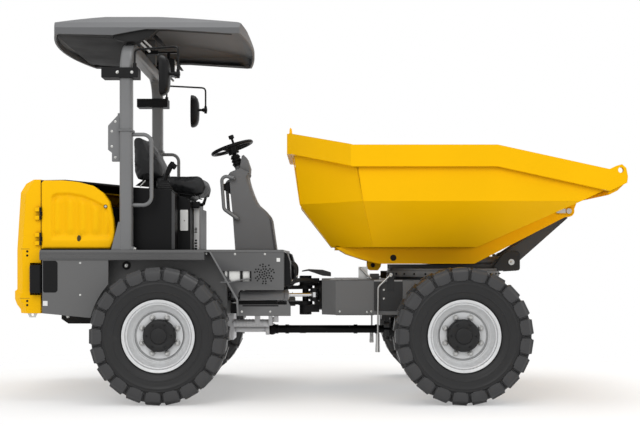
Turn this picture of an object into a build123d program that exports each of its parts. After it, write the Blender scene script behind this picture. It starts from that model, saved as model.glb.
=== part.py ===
from build123d import *
import math
import os

# Articulated site dumper with a swivel skip.
# Frame: +X forward, +Y to the driver's left, +Z up, millimetres.
# Origin: on the ground, under the middle of the machine's overall box.

# Running gear
WHEELBASE = 2160.0
REAR_AXLE_X = -1112.0
FRONT_AXLE_X = REAR_AXLE_X + WHEELBASE
TRACK = 1600.0
TYRE_R = 487.5
TYRE_W = 350.0
LUG_COUNT = 21             # on each side of the tread
LUG_DEPTH = 35.0
LUG_SHARE = 0.74           # of the pitch, the rest is groove
BEAD_R = 228.0
RIM_FLANGE_R = 259.0
RIM_W = 280.0
RIM_T = 9.0
DISC_Y = 55.0              # outer face of the wheel disc, outboard of the tyre's middle
DISC_T = 12.0
HUB_R = 115.0
HUB_FLANGE_R = 172.0
HUB_FLANGE_T = 26.0
HUB_NOSE = 66.0            # hub cap beyond the disc's outer face
NUT_PCD = 275.0
NUT_COUNT = 8
NUT_R = 15.0
NUT_H = 16.0
AXLE_TUBE_R = 72.0
AXLE_DRUM_R = 148.0
AXLE_DRUM_IN = 150.0       # length of the drum inboard of the hub flange
DIFF_R = 118.0
AXLE_NOSE = 355.0          # from the axle's centre line to the end of its pinion nose

# Gaps
FIT = 0.3                  # seat or turning joint
FAR = 4000.0               # beyond the machine, for cutting forms

# Rear chassis
FRAME_REAR = -1975.0
DECK_TOP = 1098.0
DECK_T = 15.0
DECK_HALF = 760.0
DECK_REAR = FRAME_REAR - 20.0
DECK_FRONT = -232.0
RAIL_H = 58.0
FRAME_LOW = 612.0
FRAME_HALF = DECK_HALF - 175.0
FRAME_WALL = 12.0
FRAME_STEP = -660.0        # where the frame narrows ahead of the rear wheels
NOSE_HALF = 250.0
BULKHEAD_X = -300.0
SKIRT_T = 10.0
SKIRT_HALF = DECK_HALF - 3.0
ARCH_R = 530.0

# Centre pivot
PIVOT_X = -84.0
PIVOT_Z = 745.0
FORK_T = 26.0
FORK_GAP = 122.0           # between the middles of the two fork plates
LUG_T = 80.0
LUG_R = 48.0
PIN_R = 25.0
YOKE_FACE_X = 46.0
YOKE_FLANGE_R = 118.0

# Front chassis
FRONT_LOW = 608.0
FRONT_TOP = 873.0
FRONT_HALF = 400.0
FRONT_TAIL_HALF = 330.0
FRONT_END_X = FRONT_AXLE_X + 372.0
FRONT_WALL = 14.0
SWIVEL_X = FRONT_AXLE_X - 38.0
RING_R = 445.0
RING_TOP = 940.0

# Skip and its swivelling console
CONSOLE_PLATE_T = 18.0
WEB_IN = 92.0              # inner face of the console's two webs
WEB_T = 26.0
TIP_X = SWIVEL_X + 950.0
TIP_Z = 1405.0
TIP_BOSS_R = 46.0
TIP_PIN_R = 22.0
RAM_BASE_X = SWIVEL_X + 520.0
RAM_BASE_Z = 1008.0
RAM_EYE_X = SWIVEL_X - 410.0
RAM_EYE_Z = 1042.0
RAM_BARREL_R = 40.0
RAM_ROD_R = 24.0
RAM_EYE_R = 36.0
RAM_EYE_HALF = 24.0
RAIL_IN = 152.0            # inner face of the skip's rails
RAIL_OUT = 222.0
SKIP_WALL = 8.0
SKIP_FLOOR = 1123.0
SKIP_FRONT = SWIVEL_X + 1079.0
RAMP_FOOT = (SWIVEL_X + 203.0, SKIP_FLOOR)
RAMP_TIP = (SWIVEL_X + 1043.0, 1520.0)
RIM_BAND_T = 30.0
RIM_BAND_H = 155.0
LIP_HOLE = (SKIP_FRONT + 78.0, 1665.0)
LIP_HOLE_R = 20.0

# Drive line between the two axles
SHAFT_Z = TYRE_R - 14.0
JOINT_X = -351.0           # centre of the prop shaft's rear joint
JOINT_R = 46.0
SHAFT_END_X = FRONT_AXLE_X - 508.0

# Steering ram: the rear eye is on the chassis, the front eye on the pivot yoke
STEER_REAR = (-620.0, -440.0)
STEER_EYE = (-14.0, -250.0)
STEER_RAM_Z = 757.0
STEER_BARREL_R = 39.0
STEER_ROD_R = 14.0
STEER_EYE_R = 29.0
STEER_EYE_HALF = 19.0
STEER_BARREL_LEN = 420.0
STEER_ROD_LEN = 430.0

# Bodywork
HOOD_REAR = FRAME_REAR - 219.0
HOOD_FRONT = FRAME_REAR - 31.0
HOOD_TOP = 1612.0
HOOD_HALF = DECK_HALF - 70.0
HOOD_LOW = 632.0
BUMPER_X = HOOD_REAR - 17.0
SHEET_T = 12.0
DOOR_HALF = DECK_HALF - 55.0
DOOR_DEPTH = 44.0
DOOR_T = 14.0
DOOR_REAR = HOOD_FRONT + 6.0
HINGE_R = 7.0
HINGE_H = 30.0             # height of each knuckle
HINGE_LEVELS = (1178.0, 1363.0)
HINGE_X = DOOR_REAR - 3.0
HINGE_Y = DOOR_HALF + 7.0
DOOR_LOW = 1106.0
BAY_HALF = DECK_HALF - 120.0

# Driver's place
SEAT_HALF = 240.0
CONSOLE_HALF = 175.0
WHEEL_X = -670.0
WHEEL_Z = 1918.0
WHEEL_R = 175.0
WHEEL_GRIP_R = 14.0
WHEEL_TILT = 19.0
COLUMN_LEN = 140.0

# Roll bar and canopy
POST_X = -1378.0
POST_Y = DECK_HALF - 53.0
POST_W = 90.0
SPLIT_Z = 1964.0
HOOP_BEND = 215.0
CANOPY_TOP = 2865.0
CANOPY_RIM = CANOPY_TOP - 165.0
CANOPY_HALF = POST_Y - 26.0
HOOP_TOP = CANOPY_RIM - 60.0
CLAMP_Z = HOOP_TOP - 226.0
CANOPY_REAR = -2023.0
CANOPY_FRONT = -499.0
CANOPY_T = 14.0

parts = {}


# ---------------------------------------------------------------- helpers
def slab(outline, y0, y1):
    """Side outline of (x, z) points, as thick as y0 to y1."""
    face = Plane.XZ * make_face(Polyline(*outline, close=True))
    return Pos(0, max(y0, y1), 0) * extrude(face, amount=abs(y1 - y0))


def plate(outline, z0, z1):
    """Plan outline of (x, y) points, from z0 up to z1."""
    return Pos(0, 0, z0) * extrude(make_face(Polyline(*outline, close=True)), amount=z1 - z0)


def block(x0, x1, y0, y1, z0, z1):
    return Pos((x0 + x1) / 2, (y0 + y1) / 2, (z0 + z1) / 2) * Box(x1 - x0, y1 - y0, z1 - z0)


def rod(start, end, radius):
    """Round bar between two points."""
    line = Edge.make_line(start, end)
    plane = Plane(origin=start, z_dir=line % 0)
    return plane * extrude(Circle(radius), amount=line.length)


def cross_pin(x, z, radius, y0, y1):
    return rod((x, y0, z), (x, y1, z), radius)


def upright_pin(x, y, radius, z0, z1):
    return Pos(x, y, (z0 + z1) / 2) * Cylinder(radius, z1 - z0)


def bent_bar(points, bend, radius):
    """Round bar along straight runs with a bend at each corner."""
    path = FilletPolyline(*points, radius=bend)
    return sweep(Plane(path ^ 0) * Circle(radius), path)


def both(solid):
    """The solid and its mirror image on the other side of the machine."""
    return solid + mirror(solid, Plane.XZ)


def turned(profile):
    """Solid of revolution about the Y axis from (y, r) points."""
    return revolve(Plane.YZ * make_face(Polyline(*profile, close=True)), Axis.Y)


# ---------------------------------------------------------------- wheels
def lug_outline(y, turn, top, root):
    """Toothed outline of one row of lugs, upright at y."""
    pitch = 2 * math.pi / LUG_COUNT
    points = []
    for n in range(LUG_COUNT):
        for share, radius in ((-LUG_SHARE, root), (-LUG_SHARE, top), (LUG_SHARE, top), (LUG_SHARE, root)):
            a = turn + (n + share / 2) * pitch
            points.append((radius * math.cos(a), radius * math.sin(a)))
    return Pos(0, y, 0) * (Plane.XZ * make_face(Polyline(*points, close=True)))


def lug_row(side, turn):
    """Lugs from the tyre's middle out to one shoulder, where they are bevelled."""
    root = TYRE_R - LUG_DEPTH
    shoulder, edge = side * (TYRE_W / 2 - 26), side * TYRE_W / 2
    tread = lug_outline(max(0, shoulder), turn, TYRE_R, root)
    row = extrude(tread, amount=abs(shoulder))
    bevel = [lug_outline(shoulder, turn, TYRE_R, root), lug_outline(edge, turn, root - 4, root - 8)]
    return row + loft(bevel, ruled=True)


def tyre():
    """Carcass, and two rows of lugs half a pitch apart with bevelled shoulders."""
    half = TYRE_W / 2
    seat = RIM_W / 2 - RIM_T - FIT
    base = TYRE_R - LUG_DEPTH - 14
    side = [(half - 20, base), (half, base - 5), (half, 391), (half - 10, RIM_FLANGE_R + 60),
            (seat, RIM_FLANGE_R + 2), (seat, BEAD_R + FIT)]
    carcass = turned(side + [(-y, r) for y, r in reversed(side)])
    bore = rod((0, -half - 1, 0), (0, half + 1, 0), base - 10)
    turn = -math.pi / 2 - LUG_SHARE * math.pi / LUG_COUNT
    return carcass + (lug_row(1, turn) + lug_row(-1, turn + math.pi / LUG_COUNT) - bore)


def rim():
    half = RIM_W / 2
    low = BEAD_R - RIM_T
    well = low - 22
    barrel = turned([
        (-half, RIM_FLANGE_R), (-half, low), (-half + 40, low), (-half + 70, well), (half - 60, well),
        (half - 34, low), (half, low), (half, RIM_FLANGE_R), (half - RIM_T, RIM_FLANGE_R),
        (half - RIM_T, BEAD_R), (half - 40, BEAD_R), (half - 64, well + RIM_T),
        (-half + 74, well + RIM_T), (-half + 46, BEAD_R), (-half + RIM_T, BEAD_R),
        (-half + RIM_T, RIM_FLANGE_R),
    ])
    disc = turned([
        (DISC_Y, HUB_R + FIT), (DISC_Y, well - 30), (DISC_Y + 14, well - 4), (DISC_Y + 14, well + 3),
        (DISC_Y - 2, well + 3), (DISC_Y - DISC_T, well - 22), (DISC_Y - DISC_T, HUB_R + FIT),
    ])
    nuts = [Pos(NUT_PCD / 2 * math.cos(a), DISC_Y + NUT_H / 2 - 1, NUT_PCD / 2 * math.sin(a))
            * Rot(90, 0, 0) * extrude(RegularPolygon(NUT_R, 6), amount=NUT_H / 2 + 1, both=True)
            for a in [(n + 0.5) * 2 * math.pi / NUT_COUNT for n in range(NUT_COUNT)]]
    return barrel + disc + nuts


def hub():
    back = DISC_Y - DISC_T
    return turned([
        (back - HUB_FLANGE_T, 0), (back - HUB_FLANGE_T, HUB_FLANGE_R), (back, HUB_FLANGE_R),
        (back, HUB_R), (DISC_Y + 40, HUB_R), (DISC_Y + 56, HUB_R - 12), (DISC_Y + 56, 62),
        (DISC_Y + HUB_NOSE, 54), (DISC_Y + HUB_NOSE, 0),
    ])


def axle(x, pinion_side):
    """Rigid drive axle; the pinion nose points forward (+1) or back (-1)."""
    z = TYRE_R
    end = TRACK / 2 + DISC_Y - DISC_T - HUB_FLANGE_T - FIT
    drum = end - AXLE_DRUM_IN
    half = [(0, 0), (0, DIFF_R), (70, DIFF_R - 6), (130, DIFF_R - 22), (190, AXLE_TUBE_R + 10), (260, AXLE_TUBE_R),
            (drum - 60, AXLE_TUBE_R), (drum - 30, AXLE_TUBE_R + 22), (drum, AXLE_DRUM_R - 14),
            (drum + 16, AXLE_DRUM_R), (end - 30, AXLE_DRUM_R), (end, AXLE_DRUM_R - 12), (end, 0)]
    beam = both(turned(half))
    nose = revolve(Plane.XZ * make_face(Polyline(
        (0, 0), (0, DIFF_R - 10), (DIFF_R + 40, 92), (DIFF_R + 120, 70), (AXLE_NOSE, 62),
        (AXLE_NOSE, 0), close=True)), Axis.X)
    nose = Rot(0, 0, 0 if pinion_side > 0 else 180) * nose
    return Pos(x, 0, z) * (beam + nose)


TYRE = tyre()
for corner, x, side in (("front_left", FRONT_AXLE_X, 1), ("front_right", FRONT_AXLE_X, -1),
                        ("rear_left", REAR_AXLE_X, 1), ("rear_right", REAR_AXLE_X, -1)):
    place = Pos(x, side * TRACK / 2, TYRE_R) * Rot(0, 0, 0 if side > 0 else 180)
    parts[f"tyre_{corner}"] = place * TYRE
    parts[f"rim_{corner}"] = place * rim()
    parts[f"hub_{corner}"] = place * hub()


# ---------------------------------------------------------------- rear chassis
def axle_pads(x, frame_low, half):
    """Two saddles between the axle tubes and the frame above."""
    pad = block(x - 70, x + 70, half - 130, half - 30, TYRE_R, frame_low)
    return both(pad)


def rear_axle():
    return axle(REAR_AXLE_X, 1) + axle_pads(REAR_AXLE_X, FRAME_LOW, FRAME_HALF - 60)


def rear_frame():
    """Welded box between the rear wheels, open above."""
    under = DECK_TOP - DECK_T
    tail = [(FRAME_REAR, under), (FRAME_REAR, FRAME_LOW + 90), (FRAME_REAR + 120, FRAME_LOW),
            (FRAME_STEP, FRAME_LOW), (FRAME_STEP, under)]
    inner_tail = [(FRAME_REAR + FRAME_WALL, under + 1), (FRAME_REAR + FRAME_WALL, FRAME_LOW + 95),
                  (FRAME_REAR + 125, FRAME_LOW + FRAME_WALL), (FRAME_STEP - FRAME_WALL, FRAME_LOW + FRAME_WALL),
                  (FRAME_STEP - FRAME_WALL, under + 1)]
    wide = slab(tail, -FRAME_HALF, FRAME_HALF)
    return wide - slab(inner_tail, -FRAME_HALF + FRAME_WALL, FRAME_HALF - FRAME_WALL)


def centre_fork():
    """Narrow box ahead of the frame, with the fork of the centre pivot and the steering ram's ears."""
    under = DECK_TOP - DECK_T
    nose = block(FRAME_STEP, BULKHEAD_X, -NOSE_HALF, NOSE_HALF, FRAME_LOW, under)
    nose -= block(FRAME_STEP - 1, BULKHEAD_X - FRAME_WALL, -NOSE_HALF + FRAME_WALL,
                  NOSE_HALF - FRAME_WALL, FRAME_LOW + FRAME_WALL, under + 1)
    fork = []
    for offset in (-FORK_GAP / 2, FORK_GAP / 2):
        z = PIVOT_Z + offset
        cheek = plate([(BULKHEAD_X, -150), (PIVOT_X - 20, -56), (PIVOT_X, -56), (PIVOT_X, 56),
                       (PIVOT_X - 20, 56), (BULKHEAD_X, 150)], z - FORK_T / 2, z + FORK_T / 2)
        cheek += upright_pin(PIVOT_X, 0, 56, z - FORK_T / 2, z + FORK_T / 2)
        cheek -= upright_pin(PIVOT_X, 0, PIN_R + FIT, z - FORK_T, z + FORK_T)
        fork.append(cheek)
    rear_x, rear_y = STEER_REAR
    ears = []
    for z in (STEER_RAM_Z - STEER_EYE_HALF - FIT - 14, STEER_RAM_Z + STEER_EYE_HALF + FIT):
        ear = block(FRAME_STEP, rear_x, rear_y - 34, rear_y + 34, z, z + 14)
        ear += upright_pin(rear_x, rear_y, 34, z, z + 14)
        ears.append(ear)
    pin = upright_pin(rear_x, rear_y, 14, STEER_RAM_Z - STEER_EYE_HALF - 30, STEER_RAM_Z + STEER_EYE_HALF + 30)
    return nose + fork + ears + pin


def deck():
    """Floor plate, its folded side rails and the hole over the engine."""
    under = DECK_TOP - DECK_T
    floor = plate([(DECK_REAR, -DECK_HALF), (DECK_FRONT, -DECK_HALF), (DECK_FRONT, DECK_HALF),
                   (DECK_REAR, DECK_HALF)], under, DECK_TOP)
    floor -= block(-1960, -1390, -420, 420, under - 1, DECK_TOP + 1)
    rail = block(DECK_REAR, -808, DECK_HALF - 24, DECK_HALF, under - RAIL_H, under)
    return floor + both(rail)


def side_panels():
    """Skirts below the deck, ahead of and behind each rear wheel, with the step's cut-out."""
    under = DECK_TOP - DECK_T
    arch = cross_pin(REAR_AXLE_X, TYRE_R, ARCH_R, -DECK_HALF - 1, DECK_HALF + 1)
    inner = SKIRT_HALF - SKIRT_T
    rear = slab([(FRAME_REAR - 2, under - RAIL_H), (FRAME_REAR - 2, 640), (-1640, 608), (-1520, 608), (-1500, 700),
                 (-1500, under - RAIL_H)], inner, SKIRT_HALF)
    front = slab([(-771, under), (-576, 737), (-570, 621), (-182, 621), (-182, 690), (-232, 790),
                  (-232, under)], inner, SKIRT_HALF)
    front -= slab([(-567, 703), (-210, 703), (-210, 808), (-545, 808), (-567, 770)], inner - 1, SKIRT_HALF + 1)
    front -= slab([(-690, 946), (-470, 946), (-470, 870), (-610, 870)], inner - 1, SKIRT_HALF + 1)
    rear_web = block(FRAME_REAR - 2, FRAME_REAR + 8, FRAME_HALF, inner, 700, under - RAIL_H)
    front_web = block(-240, -228, NOSE_HALF, inner, 830, under)
    tie = block(-640, -628, FRAME_HALF - 60, inner, 830, under)
    fairing = slab([(DECK_FRONT, under), (-208, 1070), (-189, 1010), (-184, 850), (DECK_FRONT, 834)],
                   DECK_HALF - 340, DECK_HALF - 25)
    return both((rear - arch) + (front - arch) + rear_web + front_web + tie + fairing)


def under_guard():
    return slab([(-1951, FRAME_LOW), (-1951, 575), (-1900, 539), (-1720, 539), (-1674, 575),
                 (-1674, FRAME_LOW)], -300, 300)


def engine():
    return block(-1840, -1400, -300, 300, FRAME_LOW + FRAME_WALL, 1430)


def gearbox():
    """Drive motor and transfer box with the short shaft that ends in the rear joint."""
    nose_x = REAR_AXLE_X + AXLE_NOSE
    cup_x = JOINT_X - 20
    shaft = rod((nose_x, 0, SHAFT_Z), (cup_x, 0, SHAFT_Z), 24)
    shaft += rod((cup_x - 30, 0, SHAFT_Z), (cup_x, 0, SHAFT_Z), 46)
    shaft -= Pos(JOINT_X, 0, SHAFT_Z) * Sphere(JOINT_R + FIT)
    case = block(nose_x, nose_x + 110, -130, 130, TYRE_R - 90, FRAME_LOW)
    motor = rod((nose_x + 110, -120, 529), (-372, -120, 529), 29)
    motor += block(-480, -440, -150, -90, 520, FRAME_LOW)
    motor += block(-372, -342, -165, -75, 512, FRAME_LOW)
    motor += rod((-342, -120, 556), (-296, -120, 556), 20)
    motor += block(-332, -296, -142, -98, 537, 584)
    return case + shaft + motor


def lashing_eyes():
    """Flat eyes welded under the counterweight."""
    eye = slab([(-2160, HOOD_LOW + 4), (-2142, 596), (-2098, 596), (-2080, HOOD_LOW + 4)], 494, 506)
    eye -= cross_pin(-2120, 616, 12, 490, 510)
    return both(eye)


def tail_lamps():
    lamp = block(HOOD_FRONT - 66, HOOD_FRONT + 16, HOOD_HALF - 92, HOOD_HALF + 58, 785, 989)
    return both(fillet(lamp.edges().filter_by(Axis.Z), 10))


# ---------------------------------------------------------------- bodywork
def rear_hood():
    """Rear cover above, counterweight below, with rounded corners and a bumper step."""
    outline = [(HOOD_FRONT, HOOD_TOP), (HOOD_REAR + 132, HOOD_TOP), (HOOD_REAR + 66, 1585),
               (HOOD_REAR + 26, 1520), (HOOD_REAR, 1100), (HOOD_REAR, 811), (BUMPER_X, 796),
               (BUMPER_X, 740), (HOOD_REAR - 2, 700), (HOOD_REAR + 25, 664),
               (HOOD_REAR + 29, HOOD_LOW + 4), (HOOD_FRONT, HOOD_LOW + 4)]
    shell = slab(outline, -HOOD_HALF, HOOD_HALF)
    corner = [edge for edge in shell.edges() if abs(edge.center().Y) > HOOD_HALF - 1
              and edge.center().X < HOOD_REAR + 74]
    shell = chamfer(corner, 55)
    cavity = slab([(HOOD_FRONT + 1, HOOD_TOP - SHEET_T), (HOOD_REAR + 134, HOOD_TOP - SHEET_T),
                   (HOOD_REAR + 76, 1572), (HOOD_REAR + 39, 1512), (HOOD_REAR + SHEET_T, 1100),
                   (HOOD_FRONT + 1, 1100)],
                  -HOOD_HALF + 58, HOOD_HALF - 58)
    notch = block(HOOD_FRONT - 79, HOOD_FRONT + 1, HOOD_HALF - 92, HOOD_HALF + 1, 770, 1004)
    shell = shell - cavity - both(notch)
    for z in HINGE_LEVELS:
        for low in (z - 1.5 * HINGE_H - FIT, z + HINGE_H / 2 + FIT):
            knuckle = upright_pin(HINGE_X, HINGE_Y, HINGE_R, low, low + HINGE_H)
            knuckle += block(HOOD_FRONT - 39, HINGE_X, HOOD_HALF, HINGE_Y, low, low + HINGE_H)
            shell += both(knuckle)
    return shell


def door(side):
    """Pressed engine door: a shallow pan, open inwards, hinged at its rear edge."""
    outline = [(DOOR_REAR, DOOR_LOW), (DOOR_REAR, 1588), (-1984, 1606), (-1842, 1606), (-1730, 1594),
               (-1620, 1566), (-1545, 1512), (-1500, 1450), (-1474, 1330), (-1462, 1230), (-1468, 1175),
               (-1497, DOOR_LOW)]
    sheet = make_face(Polyline(*outline, close=True))
    pan = Pos(0, DOOR_HALF, 0) * extrude(Plane.XZ * sheet, amount=DOOR_DEPTH)
    hollow = offset(sheet, amount=-DOOR_T, kind=Kind.INTERSECTION)
    pan -= Pos(0, DOOR_HALF - DOOR_T, 0) * extrude(Plane.XZ * hollow, amount=DOOR_DEPTH)
    for z in HINGE_LEVELS:
        low, high = z - HINGE_H / 2, z + HINGE_H / 2
        pan += upright_pin(HINGE_X, HINGE_Y, HINGE_R, low, high)
        pan += block(HINGE_X, DOOR_REAR + 38, DOOR_HALF - 2, HINGE_Y, low, high)
    return pan if side > 0 else mirror(pan, Plane.XZ)


def shroud():
    """Black cover over the engine between the doors, with its front wall."""
    top = slab([(HOOD_FRONT + FIT, HOOD_TOP), (HOOD_FRONT + FIT, HOOD_TOP - SHEET_T), (-1850, HOOD_TOP - SHEET_T),
                (-1372, 1556), (-1372, 1568), (-1840, HOOD_TOP + 3)], -BAY_HALF, BAY_HALF)
    front = block(-1372, -1360, -BAY_HALF, BAY_HALF, DECK_TOP, 1568)
    return top + front


def seat_under(x):
    """Height of the seat pan, which falls towards the knees."""
    return 1578 - 0.149 * (x + 1250)


def seat_base():
    """Cowl under the seat: black front, sloped edge and the riser to the seat."""
    cowl = slab([(-1360 + FIT, DECK_TOP), (-1360 + FIT, 1563), (-1070, 1545), (-1045, 1520), (-1040, 1400),
                 (-1040, DECK_TOP)], -BAY_HALF + 40, BAY_HALF - 40)
    riser = slab([(-1230, 1520), (-1230, seat_under(-1230) - FIT), (-945, seat_under(-945) - FIT), (-990, 1500)],
                 -210, 210)
    knee = slab([(-1040, DECK_TOP), (-1040, 1512), (-1008, 1504), (-950, 1476), (-947, DECK_TOP)], -430, 430)
    panel = block(-947, -905, -250, 250, DECK_TOP, 1427)
    return cowl + riser + knee + panel


def seat_cushion():
    pad = slab([(-1250, seat_under(-1250)), (-928, seat_under(-928)), (-868, 1536), (-855, 1574), (-872, 1610),
                (-913, 1636), (-975, 1651), (-1044, 1667), (-1122, 1675), (-1250, 1662)], -SEAT_HALF, SEAT_HALF)
    return fillet(pad.edges().filter_by(Axis.Z), 22)


def seat_back():
    pad = slab([(-1385, 1644), (-1250, 1662 + FIT), (-1188, 1668.3 + FIT), (-1222, 1798), (-1292, 1853),
                (-1346, 1962), (-1362, 1984), (-1400, 1984), (-1414, 1960), (-1412, 1783)], -SEAT_HALF, SEAT_HALF)
    return fillet(pad.edges().filter_by(Axis.Y).filter_by_position(Axis.Z, 1900, 2000), 8)


def joystick():
    y = -400.0
    boot = Pos(-1144, y, 1546) * extrude(Rectangle(106, 90), amount=82, taper=16)
    boot -= slab([(-1360, 1400), (-1360, 1563 + FIT), (-1070, 1545 + FIT), (-1070, 1400)], y - 60, y + 60)
    stem = rod((-1152, y, 1615), (-1098, y, 1750), 13)
    grip = rod((-1108, y, 1756), (-1064, y, 1726), 21)
    return boot + stem + grip


def wheel_place():
    return Pos(WHEEL_X, 0, WHEEL_Z) * Rot(0, -WHEEL_TILT, 0)


def steering_console():
    """Moulded column housing on the deck, waisted at its front, with a raised ear behind the column."""
    body = slab([(-631, DECK_TOP), (-651, 1376), (-667, 1532), (-676, 1641), (-687, 1688), (-671, 1711),
                 (-593, 1743), (-527, 1711), (-538, 1688), (-523, 1625), (-499, 1555), (-476, 1501), (-452, 1462),
                 (-398, 1415), (-359, 1368), (-347, 1337), (-312, DECK_TOP)], -CONSOLE_HALF, CONSOLE_HALF)
    corner = [edge for edge in body.edges() if abs(edge.center().Y) > CONSOLE_HALF - 1
              and edge.center().X > -520 and edge.center().Z > DECK_TOP + 1]
    ear = slab([(-610, 1700), (-592, 1800), (-585, 1844), (-570, 1852), (-546, 1829), (-523, 1758), (-527, 1700)],
               -CONSOLE_HALF + 60, CONSOLE_HALF - 60)
    collar = wheel_place() * Pos(0, 0, -COLUMN_LEN - 30 - FIT) * Cylinder(32, 60)
    return chamfer(corner, 16) + ear + collar


def steering_wheel():
    ring = Torus(WHEEL_R - WHEEL_GRIP_R, WHEEL_GRIP_R)
    boss = Cylinder(36, 40)
    spokes = [Rot(0, 0, a) * (Pos((WHEEL_R - WHEEL_GRIP_R) / 2, 0, 0) * Box(WHEEL_R - WHEEL_GRIP_R, 26, 10))
              for a in (0, 120, 240)]
    knob = Pos(0, 0, 28) * Cylinder(9, 50) + Pos(0, 0, 62) * Cylinder(21, 26)
    knob = Rot(0, 0, -80) * Pos(WHEEL_R - WHEEL_GRIP_R, 0, 0) * knob
    column = Pos(0, 0, -COLUMN_LEN / 2) * Cylinder(17, COLUMN_LEN)
    return wheel_place() * (ring + boss + spokes + knob + column)


def console_grab_bar():
    y = CONSOLE_HALF + 35
    loop = bent_bar([(-640, y, 1660), (-736, y, 1686), (-716, y, 1420), (-610, y, 1345)], 36, 13.5)
    feet = rod((-640, CONSOLE_HALF, 1660), (-640, y, 1660), 11) + rod((-610, CONSOLE_HALF, 1345), (-610, y, 1345), 11)
    return both(loop + feet)


# ---------------------------------------------------------------- roll bar, canopy, rails
def roll_bar(z0, z1):
    """The stretch of the hoop between two heights."""
    path = FilletPolyline((POST_X, -POST_Y, DECK_TOP), (POST_X, -POST_Y, HOOP_TOP - POST_W / 2),
                          (POST_X, POST_Y, HOOP_TOP - POST_W / 2), (POST_X, POST_Y, DECK_TOP),
                          radius=HOOP_BEND)
    hoop = sweep(Plane(path ^ 0) * RectangleRounded(POST_W, POST_W, 22), path)
    return hoop & block(POST_X - POST_W, POST_X + POST_W, -POST_Y - POST_W, POST_Y + POST_W, z0, z1)


def roll_bar_lower():
    foot = slab([(POST_X - 104, DECK_TOP), (POST_X + 70, DECK_TOP), (POST_X + 70, DECK_TOP + 14),
                 (POST_X + 40, DECK_TOP + 30), (POST_X + 40, DECK_TOP + 204), (POST_X - 52, DECK_TOP + 204)],
                POST_Y - 40, POST_Y + 40)
    post = roll_bar(DECK_TOP, SPLIT_Z)
    return post + both(foot)


def roll_bar_upper():
    ear = slab([(POST_X - 46, 2091), (POST_X - 130, 2000), (POST_X - 130, 1825), (POST_X - 102, 1803),
                (POST_X - 102, 1742), (POST_X - 46, 1742)], POST_Y - 20, POST_Y + 20)
    bridge = block(POST_X - 60, POST_X - 40, POST_Y - 20, POST_Y + 20, SPLIT_Z + FIT, 2091)
    clamp = block(POST_X - 169, POST_X + 92, POST_Y - 60, POST_Y + 60, CLAMP_Z - 69, CLAMP_Z)
    return roll_bar(SPLIT_Z + FIT, HOOP_TOP) + both(ear + bridge + clamp)


def roof_form(inset):
    """Solid below the roof's skin: its side profile, plan and cross-section cut into each other."""
    rear, front, top = CANOPY_REAR + inset, CANOPY_FRONT - inset, CANOPY_TOP - inset
    half, low = CANOPY_HALF - inset, CANOPY_RIM - 60 - inset
    profile = [ThreePointArc((rear - 6, top - 129), (rear + 270, top - 47), (rear + 590, top)),
               ThreePointArc((rear + 590, top), (rear + 1010, top - 30), (front - 80, top - 87)),
               Line((front - 80, top - 87), (front - 22, top - 111)),
               Line((front - 22, top - 111), (front + 6, top - 154)), Line((front + 6, top - 154), (front + 6, low)),
               Line((front + 6, low), (rear - 6, low)), Line((rear - 6, low), (rear - 6, top - 129))]
    side = Pos(0, half, 0) * extrude(Plane.XZ * make_face(profile), amount=2 * half)
    plan = [Line((rear + 120, half), (front - 60, half)),
            ThreePointArc((front - 60, half), (front, 0), (front - 60, -half)),
            Line((front - 60, -half), (rear + 120, -half)),
            ThreePointArc((rear + 120, -half), (rear, 0), (rear + 120, half))]
    cross = [(-half, low), (-half, top - 141), (-half + 55, top - 91), (-half + 205, top - 15), (0, top + 12)]
    cross += [(-y, z) for y, z in reversed(cross[:-1])]
    section = Plane.YZ * make_face(Polyline(*cross, close=True))
    tunnel = Pos(rear - 6, 0, 0) * extrude(section, amount=front - rear + 12)
    return side & tunnel & (Pos(0, 0, low) * extrude(make_face(plan), amount=400))


def canopy():
    """Moulded roof, bowed at its two ends and hollow below, its rim arched over the posts."""
    rim = slab([(CANOPY_REAR - 1, CANOPY_RIM - 61), (CANOPY_REAR - 1, CANOPY_RIM - 18), (-1480, CANOPY_RIM - 30),
                (-1350, CANOPY_RIM - 5), (-1240, CANOPY_RIM + 13), (-1090, CANOPY_RIM + 12), (-600, CANOPY_RIM - 20),
                (CANOPY_FRONT + 1, CANOPY_RIM - 14), (CANOPY_FRONT + 1, CANOPY_RIM - 61)],
               -CANOPY_HALF - 1, CANOPY_HALF + 1)
    carrier = both(block(POST_X - 45, POST_X + 45, 300, 380, HOOP_TOP + FIT, CANOPY_TOP - 22))
    return roof_form(0) - rim - roof_form(CANOPY_T) + carrier


def grab_rails():
    x0 = POST_X + POST_W / 2
    loop = bent_bar([(x0, POST_Y, 1938), (-1196, POST_Y, 1938), (-1196, POST_Y, 1425), (x0, POST_Y, 1425)],
                    62, 14)
    return both(loop)


def mirrors():
    """Two mirrors on bent arms, clamped to the posts."""
    y, reach, top = POST_Y + 53, POST_Y + 159, CLAMP_Z + 131
    arm = bent_bar([(POST_X + 70, y, CLAMP_Z), (POST_X + 70, y, top), (-980, reach, top),
                    (-980, reach, top - 205)], 40, 6.5)
    head = fillet(block(-1105, -1035, reach - 85, reach + 85, top - 349, top - 65).edges().filter_by(Axis.X), 30)
    neck = rod((-1036, reach, top - 195), (-980, reach, top - 195), 12)
    return both(arm + head + neck)


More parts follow.
